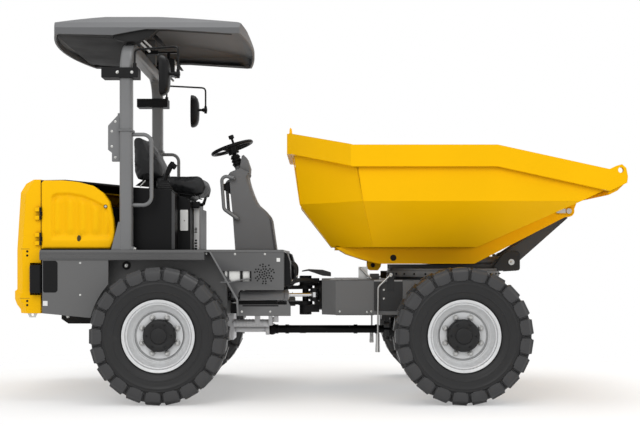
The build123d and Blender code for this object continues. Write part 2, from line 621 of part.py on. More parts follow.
# ---------------------------------------------------------------- centre pivot and steering ram
def pivot_yoke():
    """Casting that swings about the upright pin and carries the oscillation bearing."""
    low_face = PIVOT_Z - FORK_GAP / 2 - FORK_T / 2 - FIT
    high_face = PIVOT_Z + FORK_GAP / 2 + FORK_T / 2 + FIT
    lug = upright_pin(PIVOT_X, 0, LUG_R, high_face, high_face + LUG_T)
    lug += block(PIVOT_X, YOKE_FACE_X - 20, -LUG_R, LUG_R, high_face, high_face + LUG_T - 20)
    lug += upright_pin(PIVOT_X, 0, LUG_R, low_face - LUG_T, low_face)
    lug += block(PIVOT_X, YOKE_FACE_X - 20, -LUG_R, LUG_R, low_face - LUG_T + 20, low_face)
    lug += upright_pin(PIVOT_X, 0, PIN_R, low_face - LUG_T, high_face + LUG_T)
    bell = rod((PIVOT_X + 70, 0, PIVOT_Z), (YOKE_FACE_X - 20, 0, PIVOT_Z), YOKE_FLANGE_R - 11)
    flange = rod((YOKE_FACE_X - 22, 0, PIVOT_Z), (YOKE_FACE_X - FIT, 0, PIVOT_Z), YOKE_FLANGE_R)
    spigot = rod((YOKE_FACE_X - 22, 0, PIVOT_Z), (YOKE_FACE_X + 90, 0, PIVOT_Z), 60)
    eye_x, eye_y = STEER_EYE
    arms = []
    for z in (STEER_RAM_Z - STEER_EYE_HALF - 3 - 16, STEER_RAM_Z + STEER_EYE_HALF + 3):
        arm = plate([(-18, -60), (24, -60), (eye_x + 30, eye_y), (eye_x - 30, eye_y)], z, z + 16)
        arm += upright_pin(eye_x, eye_y, 30, z, z + 16)
        arms.append(arm)
    return lug + bell + flange + spigot + arms


def ram_barrel(length, neck, radius, eye_r, eye_half, pin_r, bore_r):
    """Barrel along +X from its eye at the origin, the eye's axis along Z."""
    eye = Cylinder(eye_r, 2 * eye_half)
    shank = rod((eye_r - 8, 0, 0), (neck, 0, 0), eye_half - 1)
    tube = rod((neck, 0, 0), (length, 0, 0), radius)
    gland = rod((length - 34, 0, 0), (length, 0, 0), radius + 4)
    bore = rod((neck + 8, 0, 0), (length + 1, 0, 0), bore_r)
    return eye + shank + tube + gland - bore - Cylinder(pin_r, 3 * eye_half)


def ram_rod(length, rest, radius, eye_r, eye_half):
    """Rod along +X whose eye is rest ahead of the barrel's eye."""
    shaft = rod((rest - length, 0, 0), (rest - eye_r + 6, 0, 0), radius)
    return shaft + Pos(rest, 0, 0) * Cylinder(eye_r, 2 * eye_half)


STEER_RUN = (STEER_EYE[0] - STEER_REAR[0], STEER_EYE[1] - STEER_REAR[1])
STEER_REST = math.hypot(*STEER_RUN)
STEER_ANGLE = math.degrees(math.atan2(STEER_RUN[1], STEER_RUN[0]))
STEER_PLACE = Pos(STEER_REAR[0], STEER_REAR[1], STEER_RAM_Z) * Rot(0, 0, STEER_ANGLE)
TIP_RUN = (RAM_EYE_X - RAM_BASE_X, RAM_EYE_Z - RAM_BASE_Z)
TIP_REST = math.hypot(*TIP_RUN)
TIP_PLACE = (Pos(RAM_BASE_X, 0, RAM_BASE_Z) * Rot(0, -math.degrees(math.atan2(TIP_RUN[1], TIP_RUN[0])), 0)
             * Rot(90, 0, 0))


def prop_shaft():
    z = SHAFT_Z
    joint = Pos(JOINT_X, 0, z) * Sphere(JOINT_R)
    tube = rod((JOINT_X, 0, z), (SHAFT_END_X, 0, z), 31)
    return joint + tube + rod((SHAFT_END_X, 0, z), (SHAFT_END_X + 90, 0, z), 11)


# ---------------------------------------------------------------- front chassis
def front_frame():
    """Welded box that tapers to the pivot, open below between its side plates."""
    outline = [(YOKE_FACE_X, -FRONT_TAIL_HALF), (150, -FRONT_HALF), (FRONT_END_X, -FRONT_HALF),
               (FRONT_END_X, FRONT_HALF), (150, FRONT_HALF), (YOKE_FACE_X, FRONT_TAIL_HALF)]
    hull = plate(outline, FRONT_LOW, FRONT_TOP)
    inner = [(YOKE_FACE_X + FRONT_WALL, -FRONT_TAIL_HALF + 8), (156, -FRONT_HALF + FRONT_WALL),
             (FRONT_END_X - FRONT_WALL, -FRONT_HALF + FRONT_WALL), (FRONT_END_X - FRONT_WALL, FRONT_HALF - FRONT_WALL),
             (156, FRONT_HALF - FRONT_WALL), (YOKE_FACE_X + FRONT_WALL, FRONT_TAIL_HALF - 8)]
    hull -= plate(inner, FRONT_LOW - 1, FRONT_TOP - FRONT_WALL)
    hull -= rod((YOKE_FACE_X - 1, 0, PIVOT_Z), (YOKE_FACE_X + 120, 0, PIVOT_Z), 60 + FIT)
    nose_cut = slab([(FRONT_END_X - 260, FRONT_LOW - 1), (FRONT_END_X + 1, FRONT_LOW - 1), (FRONT_END_X + 1, 760)],
                    -FRONT_HALF - 1, FRONT_HALF + 1)
    return hull - nose_cut


def turntable():
    """Slewing ring on the front chassis, with its raised lock block."""
    base = upright_pin(SWIVEL_X, 0, RING_R - 30, FRONT_TOP, FRONT_TOP + 22)
    race = upright_pin(SWIVEL_X, 0, RING_R, FRONT_TOP + 22, RING_TOP)
    catch = block(430, 500, -60, 60, FRONT_TOP, 915)
    return base + race + catch


def front_axle():
    saddle = axle_pads(FRONT_AXLE_X, FRONT_LOW, FRONT_HALF + 30)
    body = axle(FRONT_AXLE_X, -1)
    nose_x = FRONT_AXLE_X - AXLE_NOSE
    cup = rod((SHAFT_END_X + 50, 0, SHAFT_Z), (nose_x + 10, 0, SHAFT_Z), 92)
    cup -= rod((SHAFT_END_X + 20, 0, SHAFT_Z), (nose_x, 0, SHAFT_Z), 84)
    return body + saddle + cup


def locking_levers():
    path = [(566, 430, 915), (470, 430, 820), (466, 430, 330)]
    lever = bent_bar(path, 40, 7) + rod((466, 430, 470), (466, 430, 330), 14)
    lever += rod((566, FRONT_HALF + 8, 915), (566, 440, 915), 12)
    lever += block(540, 592, FRONT_HALF, FRONT_HALF + 8, 790, 932)
    return both(lever)


def skip_latch():
    """Spring catch that locks the skip's tail, with its release handle."""
    stand = block(330, 400, -220, -205, FRONT_TOP, 972)
    stand += block(330, 420, -205, -150, FRONT_TOP, FRONT_TOP + 12)
    return stand + bent_bar([(345, -228, 960), (345, -260, 960), (425, -260, 880)], 12, 8) + \
        rod((345, -220, 960), (345, -232, 960), 8)


# ---------------------------------------------------------------- swivelling console
def swivel_console():
    z0 = RING_TOP + FIT
    z1 = z0 + CONSOLE_PLATE_T
    disc = upright_pin(SWIVEL_X, 0, RING_R - 10, z0, z1)
    bed = block(SWIVEL_X - 433, SWIVEL_X + 490, -WEB_IN - WEB_T, WEB_IN + WEB_T, z0, z1)
    web = slab([(SWIVEL_X - 433, z1), (SWIVEL_X - 433, 990), (SWIVEL_X + 370, 990),
                (SWIVEL_X + 460, 1075), (TIP_X - 60, TIP_Z - 48),
                (TIP_X, TIP_Z - 20), (TIP_X + 20, TIP_Z - 50), (SWIVEL_X + 580, 1010), (SWIVEL_X + 567, 940),
                (SWIVEL_X + 465, 934), (SWIVEL_X + 465, z0)],
               WEB_IN, WEB_IN + WEB_T)
    web += cross_pin(TIP_X, TIP_Z, TIP_BOSS_R, WEB_IN - 10, RAIL_IN - FIT - 1)
    web -= cross_pin(TIP_X, TIP_Z, TIP_PIN_R + FIT, 0, RAIL_OUT)
    cheek = block(RAM_BASE_X - 38, RAM_BASE_X + 47, RAM_EYE_HALF + FIT, WEB_IN, 940, RAM_BASE_Z + 28)
    cheek -= cross_pin(RAM_BASE_X, RAM_BASE_Z, 18, 0, 60)
    pin = cross_pin(RAM_BASE_X, RAM_BASE_Z, 18, -WEB_IN - WEB_T - 6, WEB_IN + WEB_T + 6)
    return disc + bed + both(web + cheek) + pin


# ---------------------------------------------------------------- skip
SKIP_BACK = SWIVEL_X - 1500
CORNER_SLOPE = 0.983       # forward run of the rear corner panels per unit of width
# level: height, rear x, half width at the rear, half width at the sides
SKIP_LEVELS = (
    (SKIP_FLOOR, SWIVEL_X - 886, 150.0, 460.0),
    (1447.0, SWIVEL_X - 1131, 370.0, 835.0),
    (2000.0, SWIVEL_X - 1200, 392.0, 850.0),
)
SKIP_TOP = ((SKIP_BACK, 1980), (SWIVEL_X - 1200, 1980), (SWIVEL_X - 746, 1846), (SWIVEL_X + 284, 1846),
            (SKIP_FRONT, 1672), (SKIP_FRONT + 311, 1604))
RAMP_SLOPE = (RAMP_TIP[1] - RAMP_FOOT[1]) / (RAMP_TIP[0] - RAMP_FOOT[0])


def ramp_z(x, drop=0.0):
    return RAMP_FOOT[1] + (x - RAMP_FOOT[0]) * RAMP_SLOPE - drop


def skip_outline(rear_x, rear_half, side_half):
    """Plan of the tub at one level: straight sides, two corner panels and a flat rear."""
    side_x = rear_x + CORNER_SLOPE * (side_half - rear_half)
    return make_face(Polyline((rear_x, -rear_half), (side_x, -side_half), (FAR, -side_half),
                              (FAR, side_half), (side_x, side_half), (rear_x, rear_half), close=True))


def skip_form(grow, front, low):
    """Solid of the tub's outer form, grown outwards by a distance, up to a front plane."""
    sections = []
    for z, rear_x, rear_half, side_half in SKIP_LEVELS:
        outline = skip_outline(rear_x, rear_half, side_half)
        if grow:
            outline = offset(outline, amount=grow, kind=Kind.INTERSECTION)
        sections.append(Pos(0, 0, z) * outline)
    form = loft(sections, ruled=True)
    under = [(SKIP_BACK, 900), (FAR, 900), (FAR, ramp_z(FAR) + low), (RAMP_FOOT[0], RAMP_FOOT[1] + low),
             (SKIP_BACK, SKIP_FLOOR + low)]
    form -= slab(under, -1200, 1200)
    return form - block(front, FAR + 100, -1200, 1200, 900, 2600)


def above_top(drop):
    """Everything higher than the tub's top edge, lowered by a distance."""
    edge = [(x, z - drop) for x, z in SKIP_TOP]
    return slab(edge + [(SKIP_FRONT + 311, 2400), (SKIP_BACK, 2400)], -1200, 1200)


def skip_tub():
    outer = skip_form(0, SKIP_FRONT, 0)
    inner = skip_form(-SKIP_WALL, SKIP_FRONT + 5, SKIP_WALL)
    return outer - inner - above_top(0)


def skip_rim():
    """Band round the top edge, the lifting eyes and the beam under the lip."""
    edge = SKIP_LEVELS[2][3]
    outline = offset(skip_outline(*SKIP_LEVELS[2][1:]), amount=RIM_BAND_T, kind=Kind.INTERSECTION)
    strip = slab(list(SKIP_TOP) + [(x, z - RIM_BAND_H) for x, z in reversed(SKIP_TOP)], -1200, 1200)
    band = Pos(0, 0, 1400) * extrude(outline, amount=700)
    band = (band - skip_form(0, SKIP_FRONT + 300, -400)) & strip
    band -= block(SKIP_FRONT, FAR + 100, -1200, 1200, 1300, 2200)
    ear = slab([(SKIP_FRONT, 1672), (SKIP_FRONT + 52, 1697), (SKIP_FRONT + 86, 1706),
                (SKIP_FRONT + 116, 1680), (SKIP_FRONT + 128, 1620), (SKIP_FRONT + 123, 1575),
                (SKIP_FRONT, 1515)], edge, edge + RIM_BAND_T)
    ear -= cross_pin(LIP_HOLE[0], LIP_HOLE[1], LIP_HOLE_R, edge - 1, edge + RIM_BAND_T + 1)
    lip = slab([(SKIP_FRONT, ramp_z(SKIP_FRONT)), (SKIP_FRONT + 91, ramp_z(SKIP_FRONT + 91)),
                (SKIP_FRONT + 111, 1568), (SKIP_FRONT + 61, 1520),
                (SKIP_FRONT, 1490)], -edge, edge)
    rear_x = SKIP_LEVELS[2][1] - RIM_BAND_T
    eye = slab([(rear_x + 2, 1960), (rear_x - 8, 1990), (rear_x - 8, 2024), (rear_x + 8, 2036), (rear_x + 26, 2020),
                (rear_x + 26, 1960)], -8, 8)
    eye -= cross_pin(rear_x + 9, 2010, 10, -9, 9)
    return band + both(ear) + lip + eye


def skip_underframe():
    """Two rails below the tub, bored for the tip pins, with the ram's lugs between them."""
    rail = slab([(SWIVEL_X - 860, SKIP_FLOOR), (SWIVEL_X - 774, 1070), (SWIVEL_X - 638, 1025),
                 (SWIVEL_X - 524, 995), (SWIVEL_X + 219, 995), (TIP_X - 20, TIP_Z - 44),
                 (TIP_X + 30, TIP_Z - 24), (SWIVEL_X + 1030, ramp_z(SWIVEL_X + 1030)),
                 (RAMP_FOOT[0], RAMP_FOOT[1])], RAIL_IN, RAIL_OUT)
    rail += cross_pin(TIP_X, TIP_Z, TIP_BOSS_R, RAIL_IN, RAIL_OUT)
    rail += cross_pin(TIP_X, TIP_Z, TIP_PIN_R, WEB_IN - 16, RAIL_OUT + 10)
    rail += block(TIP_X - 80, TIP_X + 30, RAIL_OUT, RAIL_OUT + 8, TIP_Z - 26, TIP_Z + 26)
    lug = slab([(RAM_EYE_X - 80, SKIP_FLOOR), (RAM_EYE_X - 34, RAM_EYE_Z - 30), (RAM_EYE_X + 34, RAM_EYE_Z - 30),
                (RAM_EYE_X + 80, SKIP_FLOOR)], RAM_EYE_HALF + 3, RAM_EYE_HALF + 19)
    pin = cross_pin(RAM_EYE_X, RAM_EYE_Z, 18, RAM_EYE_HALF + 3, RAIL_IN)
    tail = slab([(SWIVEL_X - 603, SKIP_FLOOR), (SWIVEL_X - 603, 960), (SWIVEL_X - 580, 942), (SWIVEL_X - 520, 942),
                 (SWIVEL_X - 499, 970), (SWIVEL_X - 470, SKIP_FLOOR)], 50, 70)
    cross = block(SWIVEL_X - 860, SWIVEL_X - 820, -RAIL_IN, RAIL_IN, SKIP_FLOOR - 22, SKIP_FLOOR)
    cross += block(SWIVEL_X + 110, SWIVEL_X + 170, -RAIL_IN, RAIL_IN, SKIP_FLOOR - 22, SKIP_FLOOR)
    return both(rail + lug + pin + tail) + cross


parts["rear_axle"] = rear_axle()
parts["rear_frame"] = rear_frame()
parts["centre_fork"] = centre_fork()
parts["deck"] = deck()
parts["side_panels"] = side_panels()
parts["under_guard"] = under_guard()
parts["engine"] = engine()
parts["gearbox"] = gearbox()
parts["tail_lamps"] = tail_lamps()
parts["lashing_eyes"] = lashing_eyes()
parts["rear_hood"] = rear_hood()
parts["engine_door_left"] = door(1)
parts["engine_door_right"] = door(-1)
parts["shroud"] = shroud()
parts["seat_base"] = seat_base()
parts["seat_cushion"] = seat_cushion()
parts["seat_back"] = seat_back()
parts["joystick"] = joystick()
parts["steering_console"] = steering_console()
parts["steering_wheel"] = steering_wheel()
parts["console_grab_bar"] = console_grab_bar()
parts["roll_bar_lower"] = roll_bar_lower()
parts["roll_bar_upper"] = roll_bar_upper()
parts["canopy"] = canopy()
parts["grab_rails"] = grab_rails()
parts["mirrors"] = mirrors()
parts["pivot_yoke"] = pivot_yoke()
parts["steer_barrel"] = STEER_PLACE * ram_barrel(STEER_BARREL_LEN, 40, STEER_BARREL_R, STEER_EYE_R,
                                                STEER_EYE_HALF, 14 + FIT, STEER_ROD_R + FIT)
parts["steer_rod"] = STEER_PLACE * ram_rod(STEER_ROD_LEN, STEER_REST, STEER_ROD_R, STEER_EYE_R, STEER_EYE_HALF)
parts["prop_shaft"] = prop_shaft()
parts["front_frame"] = front_frame()
parts["front_axle"] = front_axle()
parts["turntable"] = turntable()
parts["locking_levers"] = locking_levers()
parts["skip_latch"] = skip_latch()
parts["swivel_console"] = swivel_console()
parts["tip_barrel"] = TIP_PLACE * ram_barrel(TIP_REST - 80, 58, RAM_BARREL_R, RAM_EYE_R,
                                            RAM_EYE_HALF, 18 + FIT, RAM_ROD_R + FIT)
parts["tip_rod"] = TIP_PLACE * ram_rod(TIP_REST - 74, TIP_REST, RAM_ROD_R, RAM_EYE_R, RAM_EYE_HALF)
parts["skip_tub"] = skip_tub()
parts["skip_rim"] = skip_rim()
parts["skip_underframe"] = skip_underframe()

os.makedirs("parts", exist_ok=True)
for name, solid in parts.items():
    export_step(solid, f"parts/{name}.step")
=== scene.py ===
import bpy
import bmesh
import math
from mathutils import Matrix, Vector


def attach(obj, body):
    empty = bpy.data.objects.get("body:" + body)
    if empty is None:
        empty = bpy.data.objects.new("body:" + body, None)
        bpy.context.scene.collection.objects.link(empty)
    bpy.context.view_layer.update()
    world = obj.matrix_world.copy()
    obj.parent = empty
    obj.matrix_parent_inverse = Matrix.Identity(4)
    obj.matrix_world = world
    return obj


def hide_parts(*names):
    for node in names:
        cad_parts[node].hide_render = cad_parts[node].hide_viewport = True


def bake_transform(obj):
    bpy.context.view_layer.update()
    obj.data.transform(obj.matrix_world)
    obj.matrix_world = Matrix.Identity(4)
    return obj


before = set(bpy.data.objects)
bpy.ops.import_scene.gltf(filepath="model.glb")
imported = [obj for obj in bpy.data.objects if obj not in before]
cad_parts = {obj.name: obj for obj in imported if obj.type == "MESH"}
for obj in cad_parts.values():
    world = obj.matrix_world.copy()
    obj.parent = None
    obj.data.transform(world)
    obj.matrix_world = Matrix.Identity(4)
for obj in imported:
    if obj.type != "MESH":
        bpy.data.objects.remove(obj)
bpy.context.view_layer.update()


# ---------------------------------------------------------------- studio
# A pale floor that fades into a white room, three broad lamps in front of and above the
# machine, and the camera level with the deck, square to the machine's right side.
floor_mesh = bpy.data.meshes.new("floor")
floor_mesh.from_pydata([(-30, -30, 0), (30, -30, 0), (30, 30, 0), (-30, 30, 0)], [], [(0, 1, 2, 3)])
floor = bpy.data.objects.new("floor", floor_mesh)
bpy.context.collection.objects.link(floor)


def empty_material(name):
    """A node material with nothing in it but its output."""
    material = bpy.data.materials.new(name)
    material.use_nodes = True
    tree = material.node_tree
    tree.nodes.clear()
    return material, tree, tree.nodes.new("ShaderNodeOutputMaterial")


def colour_steps(tree, source, stops):
    """A colour that runs through (place, colour) stops as the source goes from 0 to 1."""
    ramp = tree.nodes.new("ShaderNodeValToRGB")
    while len(ramp.color_ramp.elements) < len(stops):
        ramp.color_ramp.elements.new(0.5)
    for element, (place, colour) in zip(ramp.color_ramp.elements, stops):
        element.position = place
        element.color = (*colour, 1.0)
    tree.links.new(source, ramp.inputs["Fac"])
    return ramp.outputs["Color"]


def node(tree, kind, *first_inputs, **named_inputs):
    """A shader node with its inputs given in their order or by name; a socket that is given is joined."""
    fresh = tree.nodes.new("ShaderNode" + kind)
    given = list(zip(fresh.inputs, first_inputs))
    given += [(fresh.inputs[label.replace("_", " ")], value) for label, value in named_inputs.items()]
    for socket, value in given:
        if isinstance(value, bpy.types.NodeSocket):
            tree.links.new(value, socket)
        else:
            socket.default_value = value
    return fresh


floor_finish, tree, output = empty_material("pale_floor")
shader = node(tree, "BsdfDiffuse", Color=(0.95, 0.95, 0.95, 1))
clear = node(tree, "BsdfTransparent")
squeeze = node(tree, "VectorMath", node(tree, "TexCoord").outputs["Object"], (0.62, 1.0, 1.0))
squeeze.operation = "MULTIPLY"
reach = node(tree, "VectorMath", squeeze.outputs["Vector"])
reach.operation = "LENGTH"
far = node(tree, "MapRange", reach.outputs["Value"], From_Min=1.5, From_Max=3.4, To_Min=0.34)
far.interpolation_type = "SMOOTHSTEP"
fade = node(tree, "MixShader", far.outputs["Result"], shader.outputs[0], clear.outputs[0])
tree.links.new(fade.outputs[0], output.inputs["Surface"])
floor_mesh.materials.append(floor_finish)

world = bpy.data.worlds.new("white_room")
bpy.context.scene.world = world
world.use_nodes = True
tree = world.node_tree
tree.nodes.clear()
room = node(tree, "Background", Color=(1, 1, 1, 1), Strength=0.80)
backdrop = node(tree, "Background", Color=(1, 1, 1, 1), Strength=1.0)
path = node(tree, "LightPath")
sight = path.outputs["Is Camera Ray"]
for ray in ("Is Glossy Ray", "Is Transmission Ray"):
    either = node(tree, "Math", sight, path.outputs[ray])
    either.operation = "MAXIMUM"
    sight = either.outputs[0]
mix = node(tree, "MixShader", sight, room.outputs[0], backdrop.outputs[0])
node(tree, "OutputWorld", Surface=mix.outputs[0])

for name, place, aim, size, power in (
        ("key_lamp", (-2.5, -8.0, 6.5), (0, 0, 1.0), 5.0, 172),
        ("top_lamp", (0.5, 0.5, 8.5), (0, 0, 0.5), 6.0, 300),
        ("side_lamp", (7.5, -4.5, 4.0), (0.5, 0, 1.0), 4.0, 60)):
    lamp = bpy.data.lights.new(name, "AREA")
    lamp.shape = "DISK"
    lamp.size = size
    lamp.energy = power
    holder = bpy.data.objects.new(name, lamp)
    holder.location = place
    holder.rotation_euler = (Vector(aim) - Vector(place)).to_track_quat("-Z", "Y").to_euler()
    bpy.context.collection.objects.link(holder)

lens = bpy.data.cameras.new("camera")
lens.lens = 56.0
lens.sensor_width = 36.0
lens.shift_x = 0.003
lens.shift_y = 0.0703
camera = bpy.data.objects.new("camera", lens)
camera.location = (0.016, -7.95, 1.04)
camera.rotation_euler = (math.radians(90), 0, 0)
bpy.context.collection.objects.link(camera)
bpy.context.scene.camera = camera
bpy.context.scene.view_settings.view_transform = "Standard"


# ---------------------------------------------------------------- tyres
# Four block-tread tyres, 975 mm across: black rubber moulded in one piece, two rows of
# 21 shoulder lugs set half a pitch apart, fine rings on the sidewall, dust in the tread.
AXLE_HEIGHT = 0.4875
WHEEL_PLACES = {"front_left": (1.048, 1), "front_right": (1.048, -1), "rear_left": (-1.112, 1),
                "rear_right": (-1.112, -1)}
WHEEL_MIDDLE = 0.8
# The lugs: how many in a row, half the angle between two, the circle their tops touch, the circle
# of the tread between them, and how fast a lug's top falls away to stay on its circle.
LUG_COUNT = 21
HALF_PITCH = math.pi / LUG_COUNT
LUG_CIRCLE = 0.4868
TREAD_FLOOR = 0.452
TREAD_CURVE = 1.03


def times(colour, factor):
    """A colour made lighter or darker, kept within 1."""
    return [min(1.0, c * factor) for c in colour]


def grey_steps(tree, source, *stops):
    """A grey that runs through (place, value) stops."""
    return colour_steps(tree, source, [(place, [value] * 3) for place, value in stops])


def mixed(tree, share, first, second):
    """A colour between two, each of them a socket or three plain numbers."""
    mix = tree.nodes.new("ShaderNodeMix")
    mix.data_type = "RGBA"
    tree.links.new(share, mix.inputs[0])
    for socket, colour in ((mix.inputs[6], first), (mix.inputs[7], second)):
        if isinstance(colour, bpy.types.NodeSocket):
            tree.links.new(colour, socket)
        else:
            socket.default_value = (*colour, 1)
    return mix.outputs[2]


def dirt_and_painted_shade(tree, tint, colour, share):
    """Darkens a colour where two faces meet closely: painted shade in corners and recesses, and the dirt
    that gathers there.
    """
    nook = node(tree, "AmbientOcclusion", Distance=0.045)
    nook.samples = 6
    shade = grey_steps(tree, nook.outputs["AO"], (0.30, 0.0), (0.80, 1.0))
    return mixed(tree, shade, times(colour, share), tint)


def edge_wear_and_highlight(tree, start, tint, colour):
    """Another colour along the edges that stand out, from one sharpness on: edge wear on paint, a painted
    highlight on rubber.
    """
    sharpness = node(tree, "NewGeometry").outputs["Pointiness"]
    return mixed(tree, grey_steps(tree, sharpness, (start, 0.0), (0.60, 1.0)), tint, colour)


def noise(tree, place, scale, detail, rough=0.5):
    """A soft cloud from 0 to 1 that is fixed to the piece."""
    return node(tree, "TexNoise", Vector=place, Scale=scale, Detail=detail, Roughness=rough).outputs["Fac"]


def coated(tree, output, tint, gloss, height, strength, depth, rounding=0.0, **values):
    """Ends a finish: its colour, its gloss, a relief in its surface and eased edges under that."""
    bump = node(tree, "Bump", Strength=strength, Distance=depth, Height=height)
    if rounding:
        edge = node(tree, "Bevel", Radius=rounding)
        edge.samples = 4
        tree.links.new(edge.outputs[0], bump.inputs["Normal"])
    shader = node(tree, "BsdfPrincipled", Base_Color=tint, Roughness=gloss, Normal=bump.outputs[0],
                  **values)
    tree.links.new(shader.outputs[0], output.inputs["Surface"])


def rubber_finish(name, colour, dust, rough=0.72):
    """Black rubber, greyer and browner where dust lies, with a fine moulded grain, painted highlights on its
    edges and painted shade in its grooves.
    """
    material, tree, output = empty_material(name)
    place = node(tree, "TexCoord").outputs["Object"]
    cloud = noise(tree, place, 7, 6, 0.62)
    tint = colour_steps(tree, cloud, ((0.34, colour), (0.62, times(colour, 1.35)), (0.8, dust)))
    # Painted highlight: edges that stand out are three times lighter. Painted shade: grooves and corners
    # darken to 0.12 of the colour.
    tint = dirt_and_painted_shade(tree, edge_wear_and_highlight(tree, 0.52, tint, times(colour, 3)), colour, 0.12)
    gloss = grey_steps(tree, cloud, (0.3, rough * 0.8), (0.7, min(1, rough * 1.2)))
    coated(tree, output, tint, gloss, noise(tree, place, 260, 4), 0.35, 0.0006, 0.0025,
           Specular_IOR_Level=0.35)
    return material


def full_turn(count, start=0.0):
    """Angles of as many even steps round a circle."""
    return [start + 2 * math.pi * n / count for n in range(count)]


def skin(bm, rings, first=True, last=True):
    """Faces from each ring of points to the next, and over the first and the last."""
    for near, far in zip(rings, rings[1:]):
        count = len(near)
        for n in range(count):
            bm.faces.new((near[n], near[(n + 1) % count], far[(n + 1) % count], far[n]))
    if first:
        bm.faces.new(list(reversed(rings[0])))
    if last:
        bm.faces.new(rings[-1])


def lathe(bm, profile, turns, closed=True):
    """Rings about the Y axis from (y, r) points, joined round and round."""
    angles = full_turn(turns)
    rings = [[bm.verts.new((r * math.cos(a), y, r * math.sin(a))) for a in angles] for y, r in profile]
    skin(bm, rings + rings[:1] if closed else rings, False, False)


def new_mesh(name, bm, smooth=35):
    """The mesh of a finished bmesh: doubles merged, faces outwards, smooth up to an angle."""
    bmesh.ops.remove_doubles(bm, verts=bm.verts, dist=0.00002)
    bmesh.ops.recalc_face_normals(bm, faces=bm.faces)
    mesh = bpy.data.meshes.new(name)
    bm.to_mesh(mesh)
    bm.free()
    mesh.shade_smooth()
    mesh.set_sharp_from_angle(angle=math.radians(smooth))
    return mesh


def new_piece(name, mesh, finish, body, stands_for=()):
    """An object at the origin that shows a mesh in one finish and rides on one body."""
    thing = bpy.data.objects.new(name, mesh)
    bpy.context.collection.objects.link(thing)
    mesh.materials.clear()
    mesh.materials.append(finish)
    if body:
        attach(thing, body)
    if stands_for:
        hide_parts(*stands_for)
    return thing


def repeat_tree(name):
    """Node tree that sets copies of one small part on points, each turned to its point's facing."""
    tree = bpy.data.node_groups.new(name, "GeometryNodeTree")
    face = tree.interface
    face.new_socket("Geometry", in_out="INPUT", socket_type="NodeSocketGeometry")
    face.new_socket("Part", in_out="INPUT", socket_type="NodeSocketObject")
    face.new_socket("Size", in_out="INPUT", socket_type="NodeSocketFloat").default_value = 1.0
    face.new_socket("Finish", in_out="INPUT", socket_type="NodeSocketMaterial")
    face.new_socket("Geometry", in_out="OUTPUT", socket_type="NodeSocketGeometry")
    nodes, links = tree.nodes, tree.links
    start, end = nodes.new("NodeGroupInput"), nodes.new("NodeGroupOutput")
    part = nodes.new("GeometryNodeObjectInfo")
    facing = nodes.new("GeometryNodeInputNamedAttribute")
    facing.data_type = "FLOAT_VECTOR"
    facing.inputs["Name"].default_value = "facing"
    upward = nodes.new("GeometryNodeInputNamedAttribute")
    upward.data_type = "FLOAT_VECTOR"
    upward.inputs["Name"].default_value = "along"
    turn = nodes.new("FunctionNodeAxesToRotation")
    turn.primary_axis, turn.secondary_axis = "Z", "X"
    spread = nodes.new("GeometryNodeInstanceOnPoints")
    real = nodes.new("GeometryNodeRealizeInstances")
    coat = nodes.new("GeometryNodeSetMaterial")
    links.new(start.outputs["Part"], part.inputs["Object"])
    links.new(start.outputs["Geometry"], spread.inputs["Points"])
    links.new(part.outputs["Geometry"], spread.inputs["Instance"])
    links.new(facing.outputs["Attribute"], turn.inputs["Primary Axis"])
    links.new(upward.outputs["Attribute"], turn.inputs["Secondary Axis"])
    links.new(turn.outputs["Rotation"], spread.inputs["Rotation"])
    links.new(start.outputs["Size"], spread.inputs["Scale"])
    links.new(spread.outputs["Instances"], real.inputs["Geometry"])
    links.new(real.outputs["Geometry"], coat.inputs["Geometry"])
    links.new(start.outputs["Finish"], coat.inputs["Material"])
    links.new(coat.outputs["Geometry"], end.inputs["Geometry"])
    return tree


REPEAT = repeat_tree("small_parts_on_points")


def repeated(name, part_mesh, spots, finish, body, size=1.0):
    """One mesh of copies of a part on (place, facing, along) spots, riding on a body."""
    carrier = bpy.data.meshes.new(name + "_spots")
    carrier.from_pydata([s[0] for s in spots], [], [])
    for label, at in (("facing", 1), ("along", 2)):
        field = carrier.attributes.new(label, "FLOAT_VECTOR", "POINT")
        for n, spot in enumerate(spots):
            field.data[n].vector = spot[at]
    part = bpy.data.objects.new(name + "_part", part_mesh)
    holder = bpy.data.objects.new(name + "_holder", carrier)
    for thing in (part, holder):
        bpy.context.collection.objects.link(thing)
    modifier = holder.modifiers.new("copies", "NODES")
    modifier.node_group = REPEAT
    sockets = {s.name: s.identifier for s in REPEAT.interface.items_tree if s.in_out == "INPUT"}
    modifier[sockets["Part"]] = part
    modifier[sockets["Size"]] = size
    modifier[sockets["Finish"]] = finish
    graph = bpy.context.evaluated_depsgraph_get()
    mesh = bpy.data.meshes.new_from_object(holder.evaluated_get(graph))
    for thing in (part, holder):
        bpy.data.objects.remove(thing)
    mesh.name = name
    return new_piece(name, mesh, finish, body)


def ring_of_points(centre, radius, count, start=0.0):
    """Spots on a circle about a wheel's axis, facing out from it, with the axis as along."""
    spots = []
    for a in full_turn(count, start):
        out = Vector((math.cos(a), 0, math.sin(a)))
        spots.append((Vector(centre) + out * radius, out, (0, 1, 0)))
    return spots


def carcass_mesh(turns=96):
    """The casing, from one bead over the rings of the sidewall and the tread floor to the other."""
    half = [(0.112, 0.2295), (0.1305, 0.2295), (0.1308, 0.262), (0.1405, 0.268), (0.150, 0.281),
            (0.156, 0.297), (0.160, 0.313), (0.1628, 0.3145), (0.1632, 0.3175), (0.1618, 0.3190),
            (0.1668, 0.345), (0.1688, 0.3665), (0.1706, 0.3680), (0.1706, 0.3705), (0.1690, 0.3720),
            (0.1694, 0.3850), (0.1715, 0.3865), (0.1715, 0.3885), (0.1696, 0.3900), (0.1660, 0.4100),
            (0.1560, 0.4330), (0.1400, 0.4470), (0.100, TREAD_FLOOR)]
    bm = bmesh.new()
    lathe(bm, half + [(-y, r) for y, r in reversed(half)], turns)
    return new_mesh("tyre_carcass", bm, 50)


